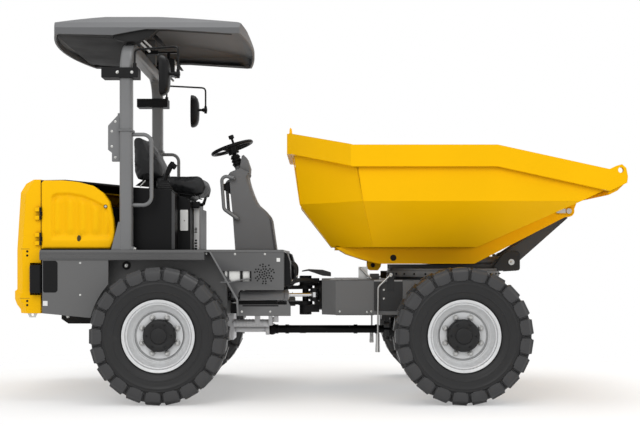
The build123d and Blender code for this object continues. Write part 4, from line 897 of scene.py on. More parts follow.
# Lining: a panel behind the posts, gussets beside the recess where the hoop passes, tucks along
# the sides and two wiring sleeves. All of it stays inside the roof's skin.
lining_bm, gusset_bm, slot_bm, tuck_bm, sleeve_bm = [bmesh.new() for n in range(5)]
prism(lining_bm, [(-1.930, 2.692), (-1.500, 2.672), (-1.440, 2.700), (-1.440, 2.712), (-1.500, 2.706),
                  (-1.900, 2.708)], -0.560, 0.560)
for side in (RIGHT, LEFT):
    prism(lining_bm, [(-1.860, 2.690), (-1.500, 2.674), (-1.500, 2.684), (-1.860, 2.700)], side * 0.540,
          side * 0.652)
    prism(gusset_bm, [(-1.500, 2.676), (-1.455, 2.690), (-1.420, 2.714), (-1.500, 2.712)], side * 0.600,
          side * 0.654)
    prism(gusset_bm, [(-1.240, 2.714), (-1.200, 2.712), (-1.130, 2.640), (-1.150, 2.636)], side * 0.380,
          side * 0.560)
    edge = [(-1.900, 2.6808), (-1.480, 2.6720), (-1.350, 2.6965), (-1.240, 2.7140), (-1.090, 2.7130),
            (-0.620, 2.6838)]
    prism(tuck_bm, edge + [(x, z + 0.011) for x, z in reversed(edge)], side * 0.604, side * 0.6668)
    prism(tuck_bm, [(-1.490, 2.678), (-1.360, 2.700), (-1.240, 2.716), (-1.160, 2.716), (-1.215, 2.665),
                    (-1.290, 2.630), (-1.400, 2.625), (-1.470, 2.645)], side * 0.585, side * 0.658)
    rod(sleeve_bm, (-1.285, side * 0.640, 2.620), (-1.225, side * 0.600, 2.560), 0.009, 16)
    rod(sleeve_bm, (-1.265, side * 0.640, 2.640), (-1.205, side * 0.600, 2.585), 0.007, 16)
    # a slot in each side of the roof: a thin black slab of painted shade
    slab(slot_bm, (-0.690, -0.655), (side * 0.664, side * 0.6672), (2.706, 2.712))
made("roof_lining_panel", lining_bm, roof_lining, "rear_chassis", 0.008)
made("roof_gussets", gusset_bm, roof_lining, "rear_chassis", 0.006)
made("roof_tucks", tuck_bm, black_seal_and_gap_shade, "rear_chassis", 0.002)
made("roof_wiring_sleeves", sleeve_bm, painted("sleeve_grey", (0.42, 0.42, 0.41), rough=0.4),
     "rear_chassis", 0.001)
made("roof_slots", slot_bm, black_seal_and_gap_shade, "rear_chassis", 0)

# Work lamp under the roof, just right of the middle, on a stem and two brackets.
lamp_bm, glass_bm = bmesh.new(), bmesh.new()
slab(lamp_bm, (-1.215, -1.105), (-0.17, -0.05), (2.470, 2.600))
rod(lamp_bm, (-1.160, -0.11, 2.600), (-1.160, -0.11, 2.655), 0.012)
slab(lamp_bm, (-1.250, -1.080), (-0.125, -0.095), (2.650, 2.662))
slab(lamp_bm, (-1.345, -1.240), (-0.140, -0.080), (2.640, 2.670))
slab(glass_bm, (-1.1065, -1.1035), (-0.160, -0.060), (2.480, 2.590))
made("work_lamp", lamp_bm, moulded_black, "rear_chassis", 0.006)
made("work_lamp_glass", glass_bm, clear_lamp, "rear_chassis", 0.003)

# Mirrors: bent steel arms and domed black shells with silvered glass towards the driver.


def along_bends(points, bend):
    """Points of a path with each corner rounded off."""
    path = [Vector(points[0])]
    for before, corner, after in zip(points, points[1:], points[2:]):
        corner = Vector(corner)
        start = corner + (Vector(before) - corner).normalized() * bend
        end = corner + (Vector(after) - corner).normalized() * bend
        path += [start.lerp(corner, t).lerp(corner.lerp(end, t), t) for t in (0, 0.25, 0.5, 0.75, 1)]
    return path + [Vector(points[-1])]


def bent_hose(bm, points, radius, bend=0.0):
    """Round bar or hose along a path: straight runs with rounded corners, or a free curve."""
    path = bpy.data.curves.new("path", "CURVE")
    path.dimensions = "3D"
    path.resolution_u = 6
    path.bevel_depth = radius
    path.bevel_resolution = 3
    path.use_fill_caps = True
    if bend:
        places = along_bends(points, bend)
        line = path.splines.new("POLY")
        line.points.add(len(places) - 1)
        for point, place in zip(line.points, places):
            point.co = (*place, 1)
    else:
        line = path.splines.new("BEZIER")
        line.bezier_points.add(len(points) - 1)
        for point, place in zip(line.bezier_points, points):
            point.co = place
            point.handle_left_type = point.handle_right_type = "AUTO"
    thing = bpy.data.objects.new("path", path)
    bpy.context.collection.objects.link(thing)
    mesh = bpy.data.meshes.new_from_object(thing.evaluated_get(bpy.context.evaluated_depsgraph_get()))
    bm.from_mesh(mesh)
    bpy.data.objects.remove(thing)
    bpy.data.meshes.remove(mesh)


def pillow(bm, middle, half_wide, half_tall, levels, power=3.2, sides=48):
    """Domed shell across X: rings of a rounded rectangle, each level an x and a share of the size."""
    rings = []
    for x, share in levels:
        ring = []
        for a in full_turn(sides):
            c, s = math.cos(a), math.sin(a)
            r = (abs(c) ** power + abs(s) ** power) ** (-1 / power)
            ring.append(bm.verts.new((x, middle[0] + half_wide * share * r * c,
                                      middle[1] + half_tall * share * r * s)))
        rings.append(ring)
    skin(bm, rings)


silvered = painted("silvered_glass", (0.88, 0.89, 0.90), rough=0.03, metallic=1.0, mottle=0.01, peel=0.0)
MIRROR_Y, ARM_X, ARM_Y = 0.866, -1.308, 0.760
SHELL_LEVELS = ((-1.102, 0.93), (-1.105, 0.95), (-1.105, 0.985), (-1.100, 1.0), (-1.085, 0.99),
                (-1.066, 0.93), (-1.050, 0.80), (-1.040, 0.55), (-1.0355, 0.2))
mirror_bm, silver_bm = bmesh.new(), bmesh.new()
for side in (RIGHT, LEFT):
    bent_hose(mirror_bm, [(ARM_X, side * ARM_Y, 2.416), (ARM_X, side * ARM_Y, 2.545),
                          (-0.980, side * MIRROR_Y, 2.545), (-0.980, side * MIRROR_Y, 2.340)], 0.0075,
              0.035)
    pillow(mirror_bm, (side * MIRROR_Y, 2.338), 0.085, 0.142, SHELL_LEVELS)
    pillow(silver_bm, (side * MIRROR_Y, 2.338), 0.085, 0.142, ((-1.1035, 0.915), (-1.1015, 0.92)))
    rod(mirror_bm, (-1.040, side * MIRROR_Y, 2.350), (-0.985, side * MIRROR_Y, 2.350), 0.011)
    rod(mirror_bm, (-1.006, side * MIRROR_Y, 2.350), (-0.966, side * MIRROR_Y, 2.350), 0.018, 24, 0.015)
    rod(mirror_bm, (-0.980, side * MIRROR_Y, 2.320), (-0.980, side * MIRROR_Y, 2.382), 0.0125)
    rod(mirror_bm, (ARM_X, side * ARM_Y, 2.404), (ARM_X, side * ARM_Y, 2.446), 0.014)
arms = made("mirror_arms_and_shells", mirror_bm, moulded_black, "rear_chassis", 0)
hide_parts("mirrors")
made("mirror_glass", silver_bm, silvered, "rear_chassis", 0)


# ---------------------------------------------------------------- driver's place
# Black moulded engine cowl and knee boxes under a vinyl seat on foam, the control lever in its
# bellows, and the grey column housing with the black steering wheel.
cowl_black = painted("cowl_black", (0.006, 0.006, 0.0065), rough=0.40, peel=0.8, rounding=0.010, gleam=0.12)
console_plastic = painted("console_plastic", (0.150, 0.151, 0.154), rough=0.55, peel=0.9, rounding=0.008,
                          gleam=0.25)
dress(cowl_black, "shroud", "seat_base", "joystick", "steering_wheel")
dress(console_plastic, "steering_console")


def vinyl_finish(name, colour):
    """Seat vinyl: fine leather grain in the bump, a dull sheen that varies, paler where it is sat on."""
    material, tree, output = empty_material(name)
    place = node(tree, "TexCoord").outputs["Object"]
    cells = node(tree, "TexVoronoi", Vector=place, Scale=420)
    cells.feature = "DISTANCE_TO_EDGE"
    wear = noise(tree, place, 9, 5)
    tint = colour_steps(tree, wear, ((0.35, colour), (0.75, times(colour, 1.7))))
    gloss = grey_steps(tree, wear, (0.3, 0.42), (0.7, 0.6))
    coated(tree, output, tint, gloss, cells.outputs["Distance"], 0.5, 0.0006, Specular_IOR_Level=0.3)
    return material


def stuffed(name, node, finish, shrink=0.972, voxel=0.009, fuller=0.0):
    """Foam cushion from its CAD node: drawn in a little, then blown up as cloth under pressure."""
    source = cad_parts[node]
    mesh = source.data.copy()
    thing = new_piece(name, mesh, finish, None)
    middle = sum((Vector(c) for c in source.bound_box), Vector()) / 8
    if fuller:
        # the front of the cushion's top is raised, and stays under its rear edge
        for vertex in mesh.vertices:
            ahead = min(max((vertex.co.x + 1.10) / 0.20, 0.0), 1.0)
            upper = min(max((vertex.co.z - 1.545) / 0.055, 0.0), 1.0)
            vertex.co.z = min(vertex.co.z + fuller * ahead * upper, 1.674)
    mesh.transform(Matrix.Translation(middle) @ Matrix.Scale(shrink, 4) @ Matrix.Translation(-middle))
    bm = bmesh.new()
    bm.from_mesh(mesh)
    bmesh.ops.remove_doubles(bm, verts=bm.verts, dist=0.0001)
    bm.to_mesh(mesh)
    bm.free()
    remesh = thing.modifiers.new("even", "REMESH")
    remesh.mode = "VOXEL"
    remesh.voxel_size = voxel
    cloth = thing.modifiers.new("foam", "CLOTH")
    cloth.settings.use_pressure = True
    cloth.settings.uniform_pressure_force = 4.0
    cloth.settings.effector_weights.gravity = 0.0
    cloth.settings.tension_stiffness = 40
    cloth.settings.shear_stiffness = 20
    cloth.settings.bending_stiffness = 1.0
    cloth.point_cache.frame_start, cloth.point_cache.frame_end = 1, 20
    for frame_number in range(1, 13):
        bpy.context.scene.frame_set(frame_number)
    graph = bpy.context.evaluated_depsgraph_get()
    blown = bpy.data.meshes.new_from_object(thing.evaluated_get(graph))
    thing.modifiers.clear()
    bpy.context.scene.frame_set(1)
    low, high = source.bound_box[0], source.bound_box[6]
    for vertex in blown.vertices:
        for axis in range(3):
            vertex.co[axis] = min(max(vertex.co[axis], low[axis] + 0.0005), high[axis] - 0.0005)
    blown.materials.clear()
    blown.materials.append(finish)
    blown.shade_smooth()
    thing.data = blown
    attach(thing, "rear_chassis")
    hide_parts(node)
    return thing


seat_vinyl = vinyl_finish("seat_vinyl", (0.013, 0.0135, 0.0145))
stuffed("seat_cushion_foam", "seat_cushion", seat_vinyl, fuller=0.045)
stuffed("seat_back_foam", "seat_back", seat_vinyl)

# Seat frame: side plates, recliner knobs and bright bars, pan edges, and the lever in front.
frame_bm, bright_bm = bmesh.new(), bmesh.new()
for side in (RIGHT, LEFT):
    y = side * 0.243
    rod(bright_bm, (-1.362, y, 1.592), (-1.318, y, 1.640), 0.006, 12)
    rod(frame_bm, (-1.305, y - side * 0.012, 1.668), (-1.305, y + side * 0.012, 1.668), 0.026, 24)
    prism(frame_bm, [(-1.400, 1.600), (-1.270, 1.586), (-1.262, 1.640), (-1.285, 1.690), (-1.330, 1.690),
                     (-1.345, 1.640)], y - side * 0.012, y)
    prism(frame_bm, [(-1.240, 1.571), (-0.935, 1.526), (-0.935, 1.518), (-1.240, 1.560)], y - side * 0.040,
          y - side * 0.006)
slab(frame_bm, (-1.020, -0.965), (-0.120, 0.120), (1.425, 1.490))
rod(frame_bm, (-1.000, -0.10, 1.470), (-0.930, -0.26, 1.450), 0.016, 16)
rod(frame_bm, (-0.930, -0.26, 1.450), (-0.868, -0.29, 1.450), 0.013, 16)
slab(frame_bm, (-0.955, -0.893), (-0.312, -0.252), (1.426, 1.474))
rod(frame_bm, (-0.868, -0.29, 1.448), (-0.848, -0.29, 1.505), 0.013, 16, 0.010)
rod(frame_bm, (-0.955, -0.20, 1.425), (-0.955, -0.20, 1.380), 0.020, 16)
made("seat_frame", frame_bm, cowl_black, "rear_chassis", 0.003)
made("seat_recliner_bars", bright_bm, bright_screw, "rear_chassis", 0.001)

# Control lever: pleated bellows over the boot, the jointed stem and a shaped grip.
bellows_bm = bmesh.new()
for n in range(5):
    z, wide = 1.552 + n * 0.0155, 0.058 - n * 0.0075
    outline = [(-1.144 - wide, -0.4 - wide * 0.86), (-1.144 + wide, -0.4 - wide * 0.86),
               (-1.144 + wide, -0.4 + wide * 0.86), (-1.144 - wide, -0.4 + wide * 0.86)]
    prism(bellows_bm, outline, z, z + 0.008, "XY")
made("lever_bellows", bellows_bm, rubber_finish("bellows_rubber", (0.012, 0.012, 0.012),
                                                (0.03, 0.03, 0.03)), "rear_chassis", 0.003)
grip_bm = bmesh.new()
rod(grip_bm, (-1.130, -0.4, 1.672), (-1.100, -0.4, 1.742), 0.018, 20, 0.021)
rod(grip_bm, (-1.100, -0.4, 1.742), (-1.072, -0.4, 1.756), 0.023, 20, 0.019)
rod(grip_bm, (-1.080, -0.422, 1.745), (-1.080, -0.378, 1.745), 0.008, 14)
made("lever_grip", grip_bm, cowl_black, "rear_chassis", 0.005)

# Knee boxes: a grey edge strip on the cowl's corner, a blank rounded plate, and slotted covers whose slots
# are thin black slabs of painted shade.
strip_bm, plate_bm, cover_bm, dark_bm = [bmesh.new() for n in range(4)]
for side in (RIGHT, LEFT):
    prism(strip_bm, [(-1.066, 1.104), (-1.0405, 1.104), (-1.0405, 1.510), (-1.066, 1.535)], side * 0.5985,
          side * 0.6025)
    outline = [(-1.022, 1.246), (-0.970, 1.246), (-0.966, 1.252), (-0.966, 1.398), (-0.970, 1.404),
               (-1.022, 1.404), (-1.026, 1.398), (-1.026, 1.252)]
    if side == RIGHT:
        prism(plate_bm, outline, side * 0.4298, side * 0.4325)
        rod(dark_bm, (-0.993, side * 0.4325, 1.322), (-0.993, side * 0.4335, 1.322), 0.004, 12)
    slab(cover_bm, (-0.9455, -0.9030), (side * 0.2495, side * 0.2525), (1.104, 1.424))
    for z0, z1 in ((1.235, 1.278), (1.105, 1.190)):
        for k in range(4):
            h = (z1 - z0) / 4
            slab(dark_bm, (-0.940 + 0.004 * (k % 2), -0.920), (side * 0.2522, side * 0.2532),
                 (z0 + k * h, z0 + k * h + h * 0.62))
made("cowl_edge_strips", strip_bm, painted("strip_grey", (0.040, 0.040, 0.041), rough=0.4), "rear_chassis",
     0.002)
made("blank_knee_plate", plate_bm, blank_plate, "rear_chassis", 0.001)
made("slotted_covers", cover_bm, painted("cover_grey", (0.80, 0.80, 0.80), rough=0.45), "rear_chassis",
     0.002)
made("cover_slots", dark_bm, black_seal_and_gap_shade, "rear_chassis", 0)

# Column: rubber bellows between housing and wheel, the boss with its cover, and the spinner knob.
axis_turn = Matrix.Translation((-0.670, 0, 1.918)) @ Matrix.Rotation(math.radians(-19), 4, "Y")
column_bm, boss_bm = bmesh.new(), bmesh.new()
for n in range(7):
    r = 0.031 + (0.006 if n % 2 else 0.0) + n * 0.0006
    a, b = axis_turn @ Vector((0, 0, -0.060 - n * 0.013)), axis_turn @ Vector((0, 0, -0.073 - n * 0.013))
    rod(column_bm, a, b, r, 28, r + 0.003)
made("column_bellows", column_bm, cowl_black, "rear_chassis", 0.002)
rod(boss_bm, axis_turn @ Vector((0, 0, -0.050)), axis_turn @ Vector((0, 0, 0.022)), 0.044, 36, 0.037)
for a in (0, 120, 240):
    turn = axis_turn @ Matrix.Rotation(math.radians(a), 4, "Z")
    rod(boss_bm, turn @ Vector((0.030, 0, -0.012)), turn @ Vector((0.152, 0, 0.0)), 0.012, 16, 0.009)
spin = axis_turn @ Matrix.Rotation(math.radians(-80), 4, "Z")
KNOB_CIRCLE = 0.161
rod(boss_bm, spin @ Vector((KNOB_CIRCLE, 0, 0.044)), spin @ Vector((KNOB_CIRCLE, 0, 0.056)), 0.012, 20,
    0.0215)
rod(boss_bm, spin @ Vector((KNOB_CIRCLE, 0, 0.056)), spin @ Vector((KNOB_CIRCLE, 0, 0.074)), 0.0220, 24,
    0.0160)
made("wheel_boss_and_knob", boss_bm, cowl_black, "steering_wheel", 0.003)

# Housing: a folded edge down its foot and a dark ignition box on each side.
seam_bm, box_bm = bmesh.new(), bmesh.new()
for side in (RIGHT, LEFT):
    y = side * 0.175
    prism(seam_bm, [(-0.3475, 1.3385), (-0.3135, 1.104), (-0.330, 1.104), (-0.3640, 1.345)],
          y - side * 0.016, y + side * 0.001)
    prism(box_bm, [(-0.680, 1.640), (-0.735, 1.612), (-0.728, 1.575), (-0.675, 1.548)], side * 0.090,
          side * 0.165)
made("housing_edges", seam_bm, painted("housing_edge", (0.055, 0.055, 0.057), rough=0.5), "rear_chassis",
     0.002)
made("ignition_boxes", box_bm, cowl_black, "rear_chassis", 0.004)


# ---------------------------------------------------------------- pivot, steering ram and drive
# Cast pivot between the two frames, its bearing bolted on with hex screws; hydraulic steering ram
# on the right; tipping pump and hoses behind it; propeller shaft with its sliding joint below.
casting_black = painted("casting_black", (0.010, 0.010, 0.0105), rough=0.50, peel=1.0, rounding=0.004,
                        gleam=0.2)
shaft_black = painted("shaft_black", (0.004, 0.004, 0.0042), rough=0.4, gleam=0.1)
ram_paint = painted("ram_grey", (0.185, 0.186, 0.190), rough=0.36)
pump_silver = painted("pump_silver", (0.66, 0.66, 0.67), rough=0.42, metallic=0.2, mottle=0.12)
plated_rod = painted("plated_rod", (0.62, 0.62, 0.63), rough=0.16, metallic=1.0, mottle=0.05, peel=0.02)
dress(casting_black, "pivot_yoke", "front_axle", "centre_fork")
dress(shaft_black, "prop_shaft")
dress(ram_paint, "steer_barrel", "tip_barrel")
dress(plated_rod, "steer_rod", "tip_rod")
dress(pump_silver, "gearbox")

# Front end of the rear half: rounded dark fairings, and on each side four screws, a blank square
# and three vent openings drawn as black bars of painted shade.
vent_bm, square_bm, fairing_bm, fairing_screws = bmesh.new(), bmesh.new(), bmesh.new(), []
for side in (RIGHT, LEFT):
    slab(square_bm, (-0.425, -0.383), (side * 0.7345, side * 0.7375), (1.018, 1.052))
    prism(fairing_bm, [(-0.2325, 1.084), (-0.2065, 1.0705), (-0.1875, 1.0102), (-0.1825, 0.849),
                       (-0.2325, 0.8325)], side * 0.4195, side * 0.7362)
    for x, z in ((-0.795, 1.072), (-0.520, 1.072), (-0.250, 1.050), (-0.250, 0.870)):
        fairing_screws.append(on_side(side, x, 0.7362, z))
    for z in (0.905, 0.945, 0.985):
        slab(vent_bm, (-0.500, -0.395), (side * 0.7345, side * 0.7362), (z, z + 0.018))
made("front_fairings", fairing_bm, cowl_black, "rear_chassis", 0.003)
made("side_vents", vent_bm, black_seal_and_gap_shade, "rear_chassis", 0)
made("blank_squares_front", square_bm, blank_plate, "rear_chassis", 0.0006)
repeated("side_panel_screws_front", dome_screw, fairing_screws, bright_screw, "rear_chassis", 0.6)

# Fork plates: bosses round the pin, and its caps, the upper one held by three screws.
fork_bm, pin_bm, pivot_screws = bmesh.new(), bmesh.new(), []
PIN_X = -0.084
for z0, z1 in ((0.664, 0.671), (0.819, 0.826)):
    rod(fork_bm, (PIN_X, 0, z0), (PIN_X, 0, z1), 0.058, 40)
for z0, z1 in ((0.826, 0.838), (0.652, 0.664)):
    rod(pin_bm, (PIN_X, 0, z0), (PIN_X, 0, z1), 0.034, 36)
for a in (60, 180, 300):
    place = (PIN_X + 0.021 * math.cos(math.radians(a)), 0.021 * math.sin(math.radians(a)), 0.838)
    pivot_screws.append((place, (0, 0, 1), (1, 0, 0)))
made("fork_bosses", fork_bm, casting_black, "rear_chassis", 0.003)
made("pivot_pin_caps", pin_bm, nut_zinc, "rear_chassis", 0.002)
repeated("pivot_pin_screws", cap_screw, pivot_screws, bright_screw, "rear_chassis", 0.8)

# Yoke bearing: ring of screws on its flange, webs between bell and barrel.
yoke_bolts, web_bm, centre_line = [], bmesh.new(), Vector((0, 0, 0.745))
for n in range(8):
    a = math.radians(22.5 + 45 * n)
    place = centre_line + Vector((0.0245, 0.1055 * math.cos(a), 0.1055 * math.sin(a)))
    yoke_bolts.append((place, (-1, 0, 0), (0, math.cos(a), math.sin(a))))
repeated("yoke_flange_screws", cap_screw, yoke_bolts, bright_screw, "pivot_yoke", 0.9)
for side in (RIGHT, LEFT):
    prism(web_bm, [(-0.060, 0.716), (-0.010, 0.690), (-0.010, 0.800), (-0.060, 0.774)], side * 0.050,
          side * 0.062)
for z0, z1 in ((0.706, 0.719), (0.795, 0.808)):
    rod(web_bm, (-0.014, -0.25, z0), (-0.014, -0.25, z1), 0.030, 28)
made("yoke_webs_and_pin_heads", web_bm, casting_black, "pivot_yoke", 0.002)

# Steering ram: two hose unions on its barrel, a lock ring on the gland, pin heads at its rear eye.
union_bm, ram_pin_bm = bmesh.new(), bmesh.new()
steer_back = Vector((-0.620, -0.440, 0.757))
steer_way = (Vector((-0.014, -0.250, 0.757)) - steer_back).normalized()
for reach in (0.075, 0.330):
    foot = steer_back + steer_way * reach + Vector((0, 0, 0.030))
    rod(union_bm, foot, foot + Vector((0, 0, 0.026)), 0.013, 6)
    rod(union_bm, foot + Vector((0, 0, 0.020)), foot + Vector((0, 0, 0.038)), 0.010, 16)
rod(union_bm, steer_back + steer_way * 0.4205, steer_back + steer_way * 0.4265, 0.036, 36)
made("steer_ram_unions", union_bm, bright_screw, "steer_barrel", 0.001)
for z0, z1 in ((0.700, 0.708), (0.806, 0.814)):
    rod(ram_pin_bm, (-0.620, -0.440, z0), (-0.620, -0.440, z1), 0.024, 28)
made("steer_ram_pin", ram_pin_bm, nut_zinc, "rear_chassis", 0.0015)

# Hydraulic hoses of the rear half, crimped into steel ends: loops at the round cowl's edge and two
# lines from the pump up to the steering unit.
hose_rubber = rubber_finish("hose_rubber", (0.010, 0.010, 0.010), (0.030, 0.029, 0.028), 0.5)
hose_bm, end_bm = bmesh.new(), bmesh.new()
for y, drop in ((-0.330, 0.0), (-0.295, 0.018), (0.300, 0.010)):
    bent_hose(hose_bm, [(-0.262, y, 0.860 - drop), (-0.190, y, 0.850 - drop), (-0.158, y, 0.905),
                        (-0.176, y, 0.985 + drop), (-0.262, y, 0.992 + drop)], 0.0105)
    rod(end_bm, (-0.268, y, 0.8610 - drop), (-0.245, y, 0.8575 - drop), 0.0145, 6)
bent_hose(hose_bm, [(-0.395, -0.150, 0.618), (-0.400, -0.180, 0.672), (-0.420, -0.225, 0.705),
                    (-0.470, -0.245, 0.720)], 0.0100)
bent_hose(hose_bm, [(-0.345, -0.105, 0.616), (-0.335, -0.100, 0.665), (-0.345, -0.090, 0.710),
                    (-0.390, -0.080, 0.730)], 0.0100)
rod(end_bm, (-0.214, -0.360, 0.838), (-0.140, -0.300, 0.905), 0.005, 12)
made("rear_hoses", hose_bm, hose_rubber, "rear_chassis", 0)

# Hoses that cross the pivot, running from the rear half to the yoke.
cross_bm = bmesh.new()
for y, lift in ((-0.215, 0.0), (-0.170, 0.008), (-0.125, -0.002), (0.150, 0.006), (0.205, 0.0)):
    bent_hose(cross_bm, [(-0.226, y, 0.800 + lift), (-0.175, y * 0.98, 0.848 + lift),
                         (-0.110, y * 0.85, 0.864 + lift), (-0.045, y * 0.62, 0.858 + lift),
                         (0.002, y * 0.42, 0.842)], 0.0115)
crossing = new_piece("pivot_hoses", new_mesh("pivot_hoses", cross_bm), hose_rubber, None)
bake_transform(crossing)
made("rear_hose_ends", end_bm, bright_screw, "rear_chassis", 0.001)

# Rubber flap over the pivot, from the front frame's top back over the gap.
flap_bm = bmesh.new()
prism(flap_bm, [(0.052, 0.900), (0.118, 0.895), (0.118, 0.926), (0.052, 0.946), (-0.060, 0.951),
                (-0.112, 0.940), (-0.112, 0.932), (-0.060, 0.938)], -0.110, 0.110)
made("pivot_flap", flap_bm, hose_rubber, "front_chassis", 0.003)

# Pump: four screws on its flange, fins on the motor and a plug at the motor's end.
MOTOR_Y, MOTOR_Z = -0.120, 0.529
pump_screws, fin_bm = [], bmesh.new()
for dy, dz in ((-0.035, -0.038), (0.035, -0.038), (-0.035, 0.040), (0.035, 0.040)):
    pump_screws.append(((-0.3418, MOTOR_Y + dy, 0.560 + dz), (1, 0, 0), (0, 0, 1)))
for n in range(9):
    x = -0.630 + n * 0.026
    rod(fin_bm, (x, MOTOR_Y, MOTOR_Z), (x + 0.006, MOTOR_Y, MOTOR_Z), 0.0325, 36)
rod(fin_bm, (-0.640, MOTOR_Y, MOTOR_Z), (-0.655, MOTOR_Y, MOTOR_Z), 0.020, 6)
made("motor_fins", fin_bm, pump_silver, "rear_chassis", 0.001)
repeated("pump_screws", cap_screw, pump_screws, bright_screw, "rear_chassis", 0.8)

# Propeller shaft: clamp collars, and a balance weight welded on the tube.
SHAFT_Z = 0.4735
shaft_bm = bmesh.new()
for x in (-0.330, -0.245, 0.300, 0.470):
    rod(shaft_bm, (x, 0, SHAFT_Z), (x + 0.030, 0, SHAFT_Z), 0.0365, 36)
slab(shaft_bm, (-0.130, -0.080), (-0.018, 0.018), (0.4415, 0.4455))
made("shaft_collars", shaft_bm, shaft_black, "prop_shaft", 0.002)


# ---------------------------------------------------------------- front frame
# Welded grey box of folded plate over the front axle; a second darker plate with a machined edge
# and two bolts; the swivel's locking levers and the skip's latch in zinc plate.
front_screws, plate_bm, edge_bm, lug_bm, big_bolts = [], bmesh.new(), bmesh.new(), bmesh.new(), []
dress(chassis_coat, "front_frame", "turntable", "swivel_console")
dress(nut_zinc, "locking_levers", "skip_latch")
for side in (RIGHT, LEFT):
    slab(plate_bm, (0.440, 0.655), (side * 0.4000, side * 0.4060), (0.640, 0.868))
    slab(edge_bm, (0.440, 0.655), (side * 0.4000, side * 0.4070), (0.862, 0.8728))
    for z in (0.798, 0.732):
        big_bolts.append(on_side(side, 0.515, 0.4058, z))
    for x, z in ((0.420, 0.634), (0.180, 0.634), (0.388, 0.630)):
        front_screws.append(on_side(side, x, 0.3998, z))
    # black lug blocks and round casting where the frame meets the pivot
    for z0, z1 in ((0.812, 0.866), (0.618, 0.668)):
        slab(lug_bm, (0.048, 0.092), (side * 0.170, side * 0.262), (z0, z1))
made("frame_side_plates", plate_bm, painted("plate_dark", (0.020, 0.020, 0.0205), rough=0.5),
     "front_chassis", 0.002)
made("frame_plate_edges", edge_bm, painted("machined_edge", (0.30, 0.30, 0.30), rough=0.35, metallic=0.5),
     "front_chassis", 0.001)
made("pivot_lug_blocks", lug_bm, casting_black, "front_chassis", 0.004)
repeated("frame_plate_bolts", hex_nut_mesh(0.014, 0.008, 0.004), big_bolts, bright_screw, "front_chassis")
repeated("front_frame_screws", dome_screw, front_screws, bright_screw, "front_chassis", 0.6)

# Weld beads along the box frame's corners.
bead_bm = bmesh.new()
for side in (RIGHT, LEFT):
    for x0, x1, y, z in ((0.152, 0.438, 0.4005, 0.6085), (0.152, 0.438, 0.4005, 0.8725),
                         (0.660, 0.740, 0.4005, 0.8725)):
        count = int((x1 - x0) / 0.007)
        for n in range(count):
            x = x0 + (x1 - x0) * n / count
            rod(bead_bm, (x, side * y, z), (x + 0.0075, side * y, z), 0.0036, 8, 0.0024)
made("frame_welds", bead_bm, chassis_coat, "front_chassis", 0)

# Brake pipes clipped along the axle beam.
pipe_bm = bmesh.new()
for side in (RIGHT, LEFT):
    bent_hose(pipe_bm, [(0.930, side * 0.120, 0.640), (0.905, side * 0.260, 0.620),
                        (0.925, side * 0.420, 0.600), (0.960, side * 0.520, 0.575)], 0.0055)
made("brake_pipes", pipe_bm, hose_rubber, "front_chassis", 0)

# Slewing ring: cap screws round its lower flange, which is fixed to the frame.
ring_screws = []
SWIVEL_X, RING_Z, SCREW_CIRCLE = 1.010, 0.918, 0.4445
for n in range(30):
    a = math.radians(12 * n + 6)
    out = Vector((math.cos(a), math.sin(a), 0))
    ring_screws.append((Vector((SWIVEL_X, 0, RING_Z)) + out * SCREW_CIRCLE, out, (0, 0, 1)))
repeated("slew_ring_screws", cap_screw, ring_screws, black_steel, "front_chassis", 0.9)

# Locking levers: tapered grips, brackets and the bolt each turns on; the latch's coil spring.
LEVER_X, LEVER_Y = 0.466, 0.430
grip_bm, bracket_bm, lever_bolts, spring_bm = bmesh.new(), bmesh.new(), [], bmesh.new()
for side in (RIGHT, LEFT):
    rod(grip_bm, (LEVER_X, side * LEVER_Y, 0.470), (LEVER_X, side * LEVER_Y, 0.400), 0.0145, 20, 0.0155)
    rod(grip_bm, (LEVER_X, side * LEVER_Y, 0.400), (LEVER_X, side * LEVER_Y, 0.3296), 0.0155, 20, 0.0180)
    slab(bracket_bm, (0.5394, 0.5926), (side * 0.3990, side * 0.4086), (0.7894, 0.9326))
    lever_bolts.append(on_side(side, 0.566, 0.440, 0.905))
made("lever_grips", grip_bm, nut_zinc, "front_chassis", 0.001)
made("lever_brackets", bracket_bm, shaded_chassis_coat, "front_chassis", 0.001)
repeated("lever_bolts", cap_screw, lever_bolts, bright_screw, "front_chassis", 1.1)
turns = [Vector((0.345 + 0.010 * math.cos(a), -0.198 + 0.0022 * a, 0.945 + 0.010 * math.sin(a)))
         for a in (n * math.pi / 4 for n in range(57))]
bent_hose(spring_bm, turns[::2], 0.0016)
made("latch_spring", spring_bm, black_steel, "front_chassis", 0)


# ---------------------------------------------------------------- swivelling console and tipping ram
# Grey plate frame on the slewing ring; zinc pins held by keeper plates and two screws; the ram has
# a welded union, a screwed gland and a chromed rod.
keeper_bm, keeper_screws, gland_bm = bmesh.new(), [], bmesh.new()
RAM_BASE, TIP_PIN = Vector((1.530, 0, 1.008)), Vector((1.960, 0, 1.405))
ram_eye = Vector((0.600, 0, 1.042))
ram_way = (ram_eye - RAM_BASE).normalized()
cheek_bm = bmesh.new()
for side in (RIGHT, LEFT):
    prism(cheek_bm, [(1.372, 0.942), (1.582, 0.942), (1.592, 0.946), (1.598, 0.958), (1.598, 1.072),
                     (1.590, 1.086), (1.575, 1.092), (1.505, 1.092), (1.470, 1.078), (1.400, 0.985)],
          side * 0.1410, side * 0.1500)
    rod(keeper_bm, (1.530, side * 0.1500, 1.008), (1.530, side * 0.1550, 1.008), 0.024, 32)
    keeper_screws.append(on_side(side, 1.530, 0.1550, 1.008))
made("ram_cheek_plates", cheek_bm, shaded_chassis_coat, "swivel_console", 0.002)
made("ram_pin_keepers", keeper_bm, nut_zinc, "swivel_console", 0.001)
repeated("keeper_screws", cap_screw, keeper_screws, bright_screw, "swivel_console")
foot = RAM_BASE + ram_way * 0.11 + Vector((0, 0, 0.036))
rod(gland_bm, foot, foot + Vector((0, 0, 0.024)), 0.014, 6)
rod(gland_bm, RAM_BASE + ram_way * 0.835, RAM_BASE + ram_way * 0.8495, 0.0425, 40)
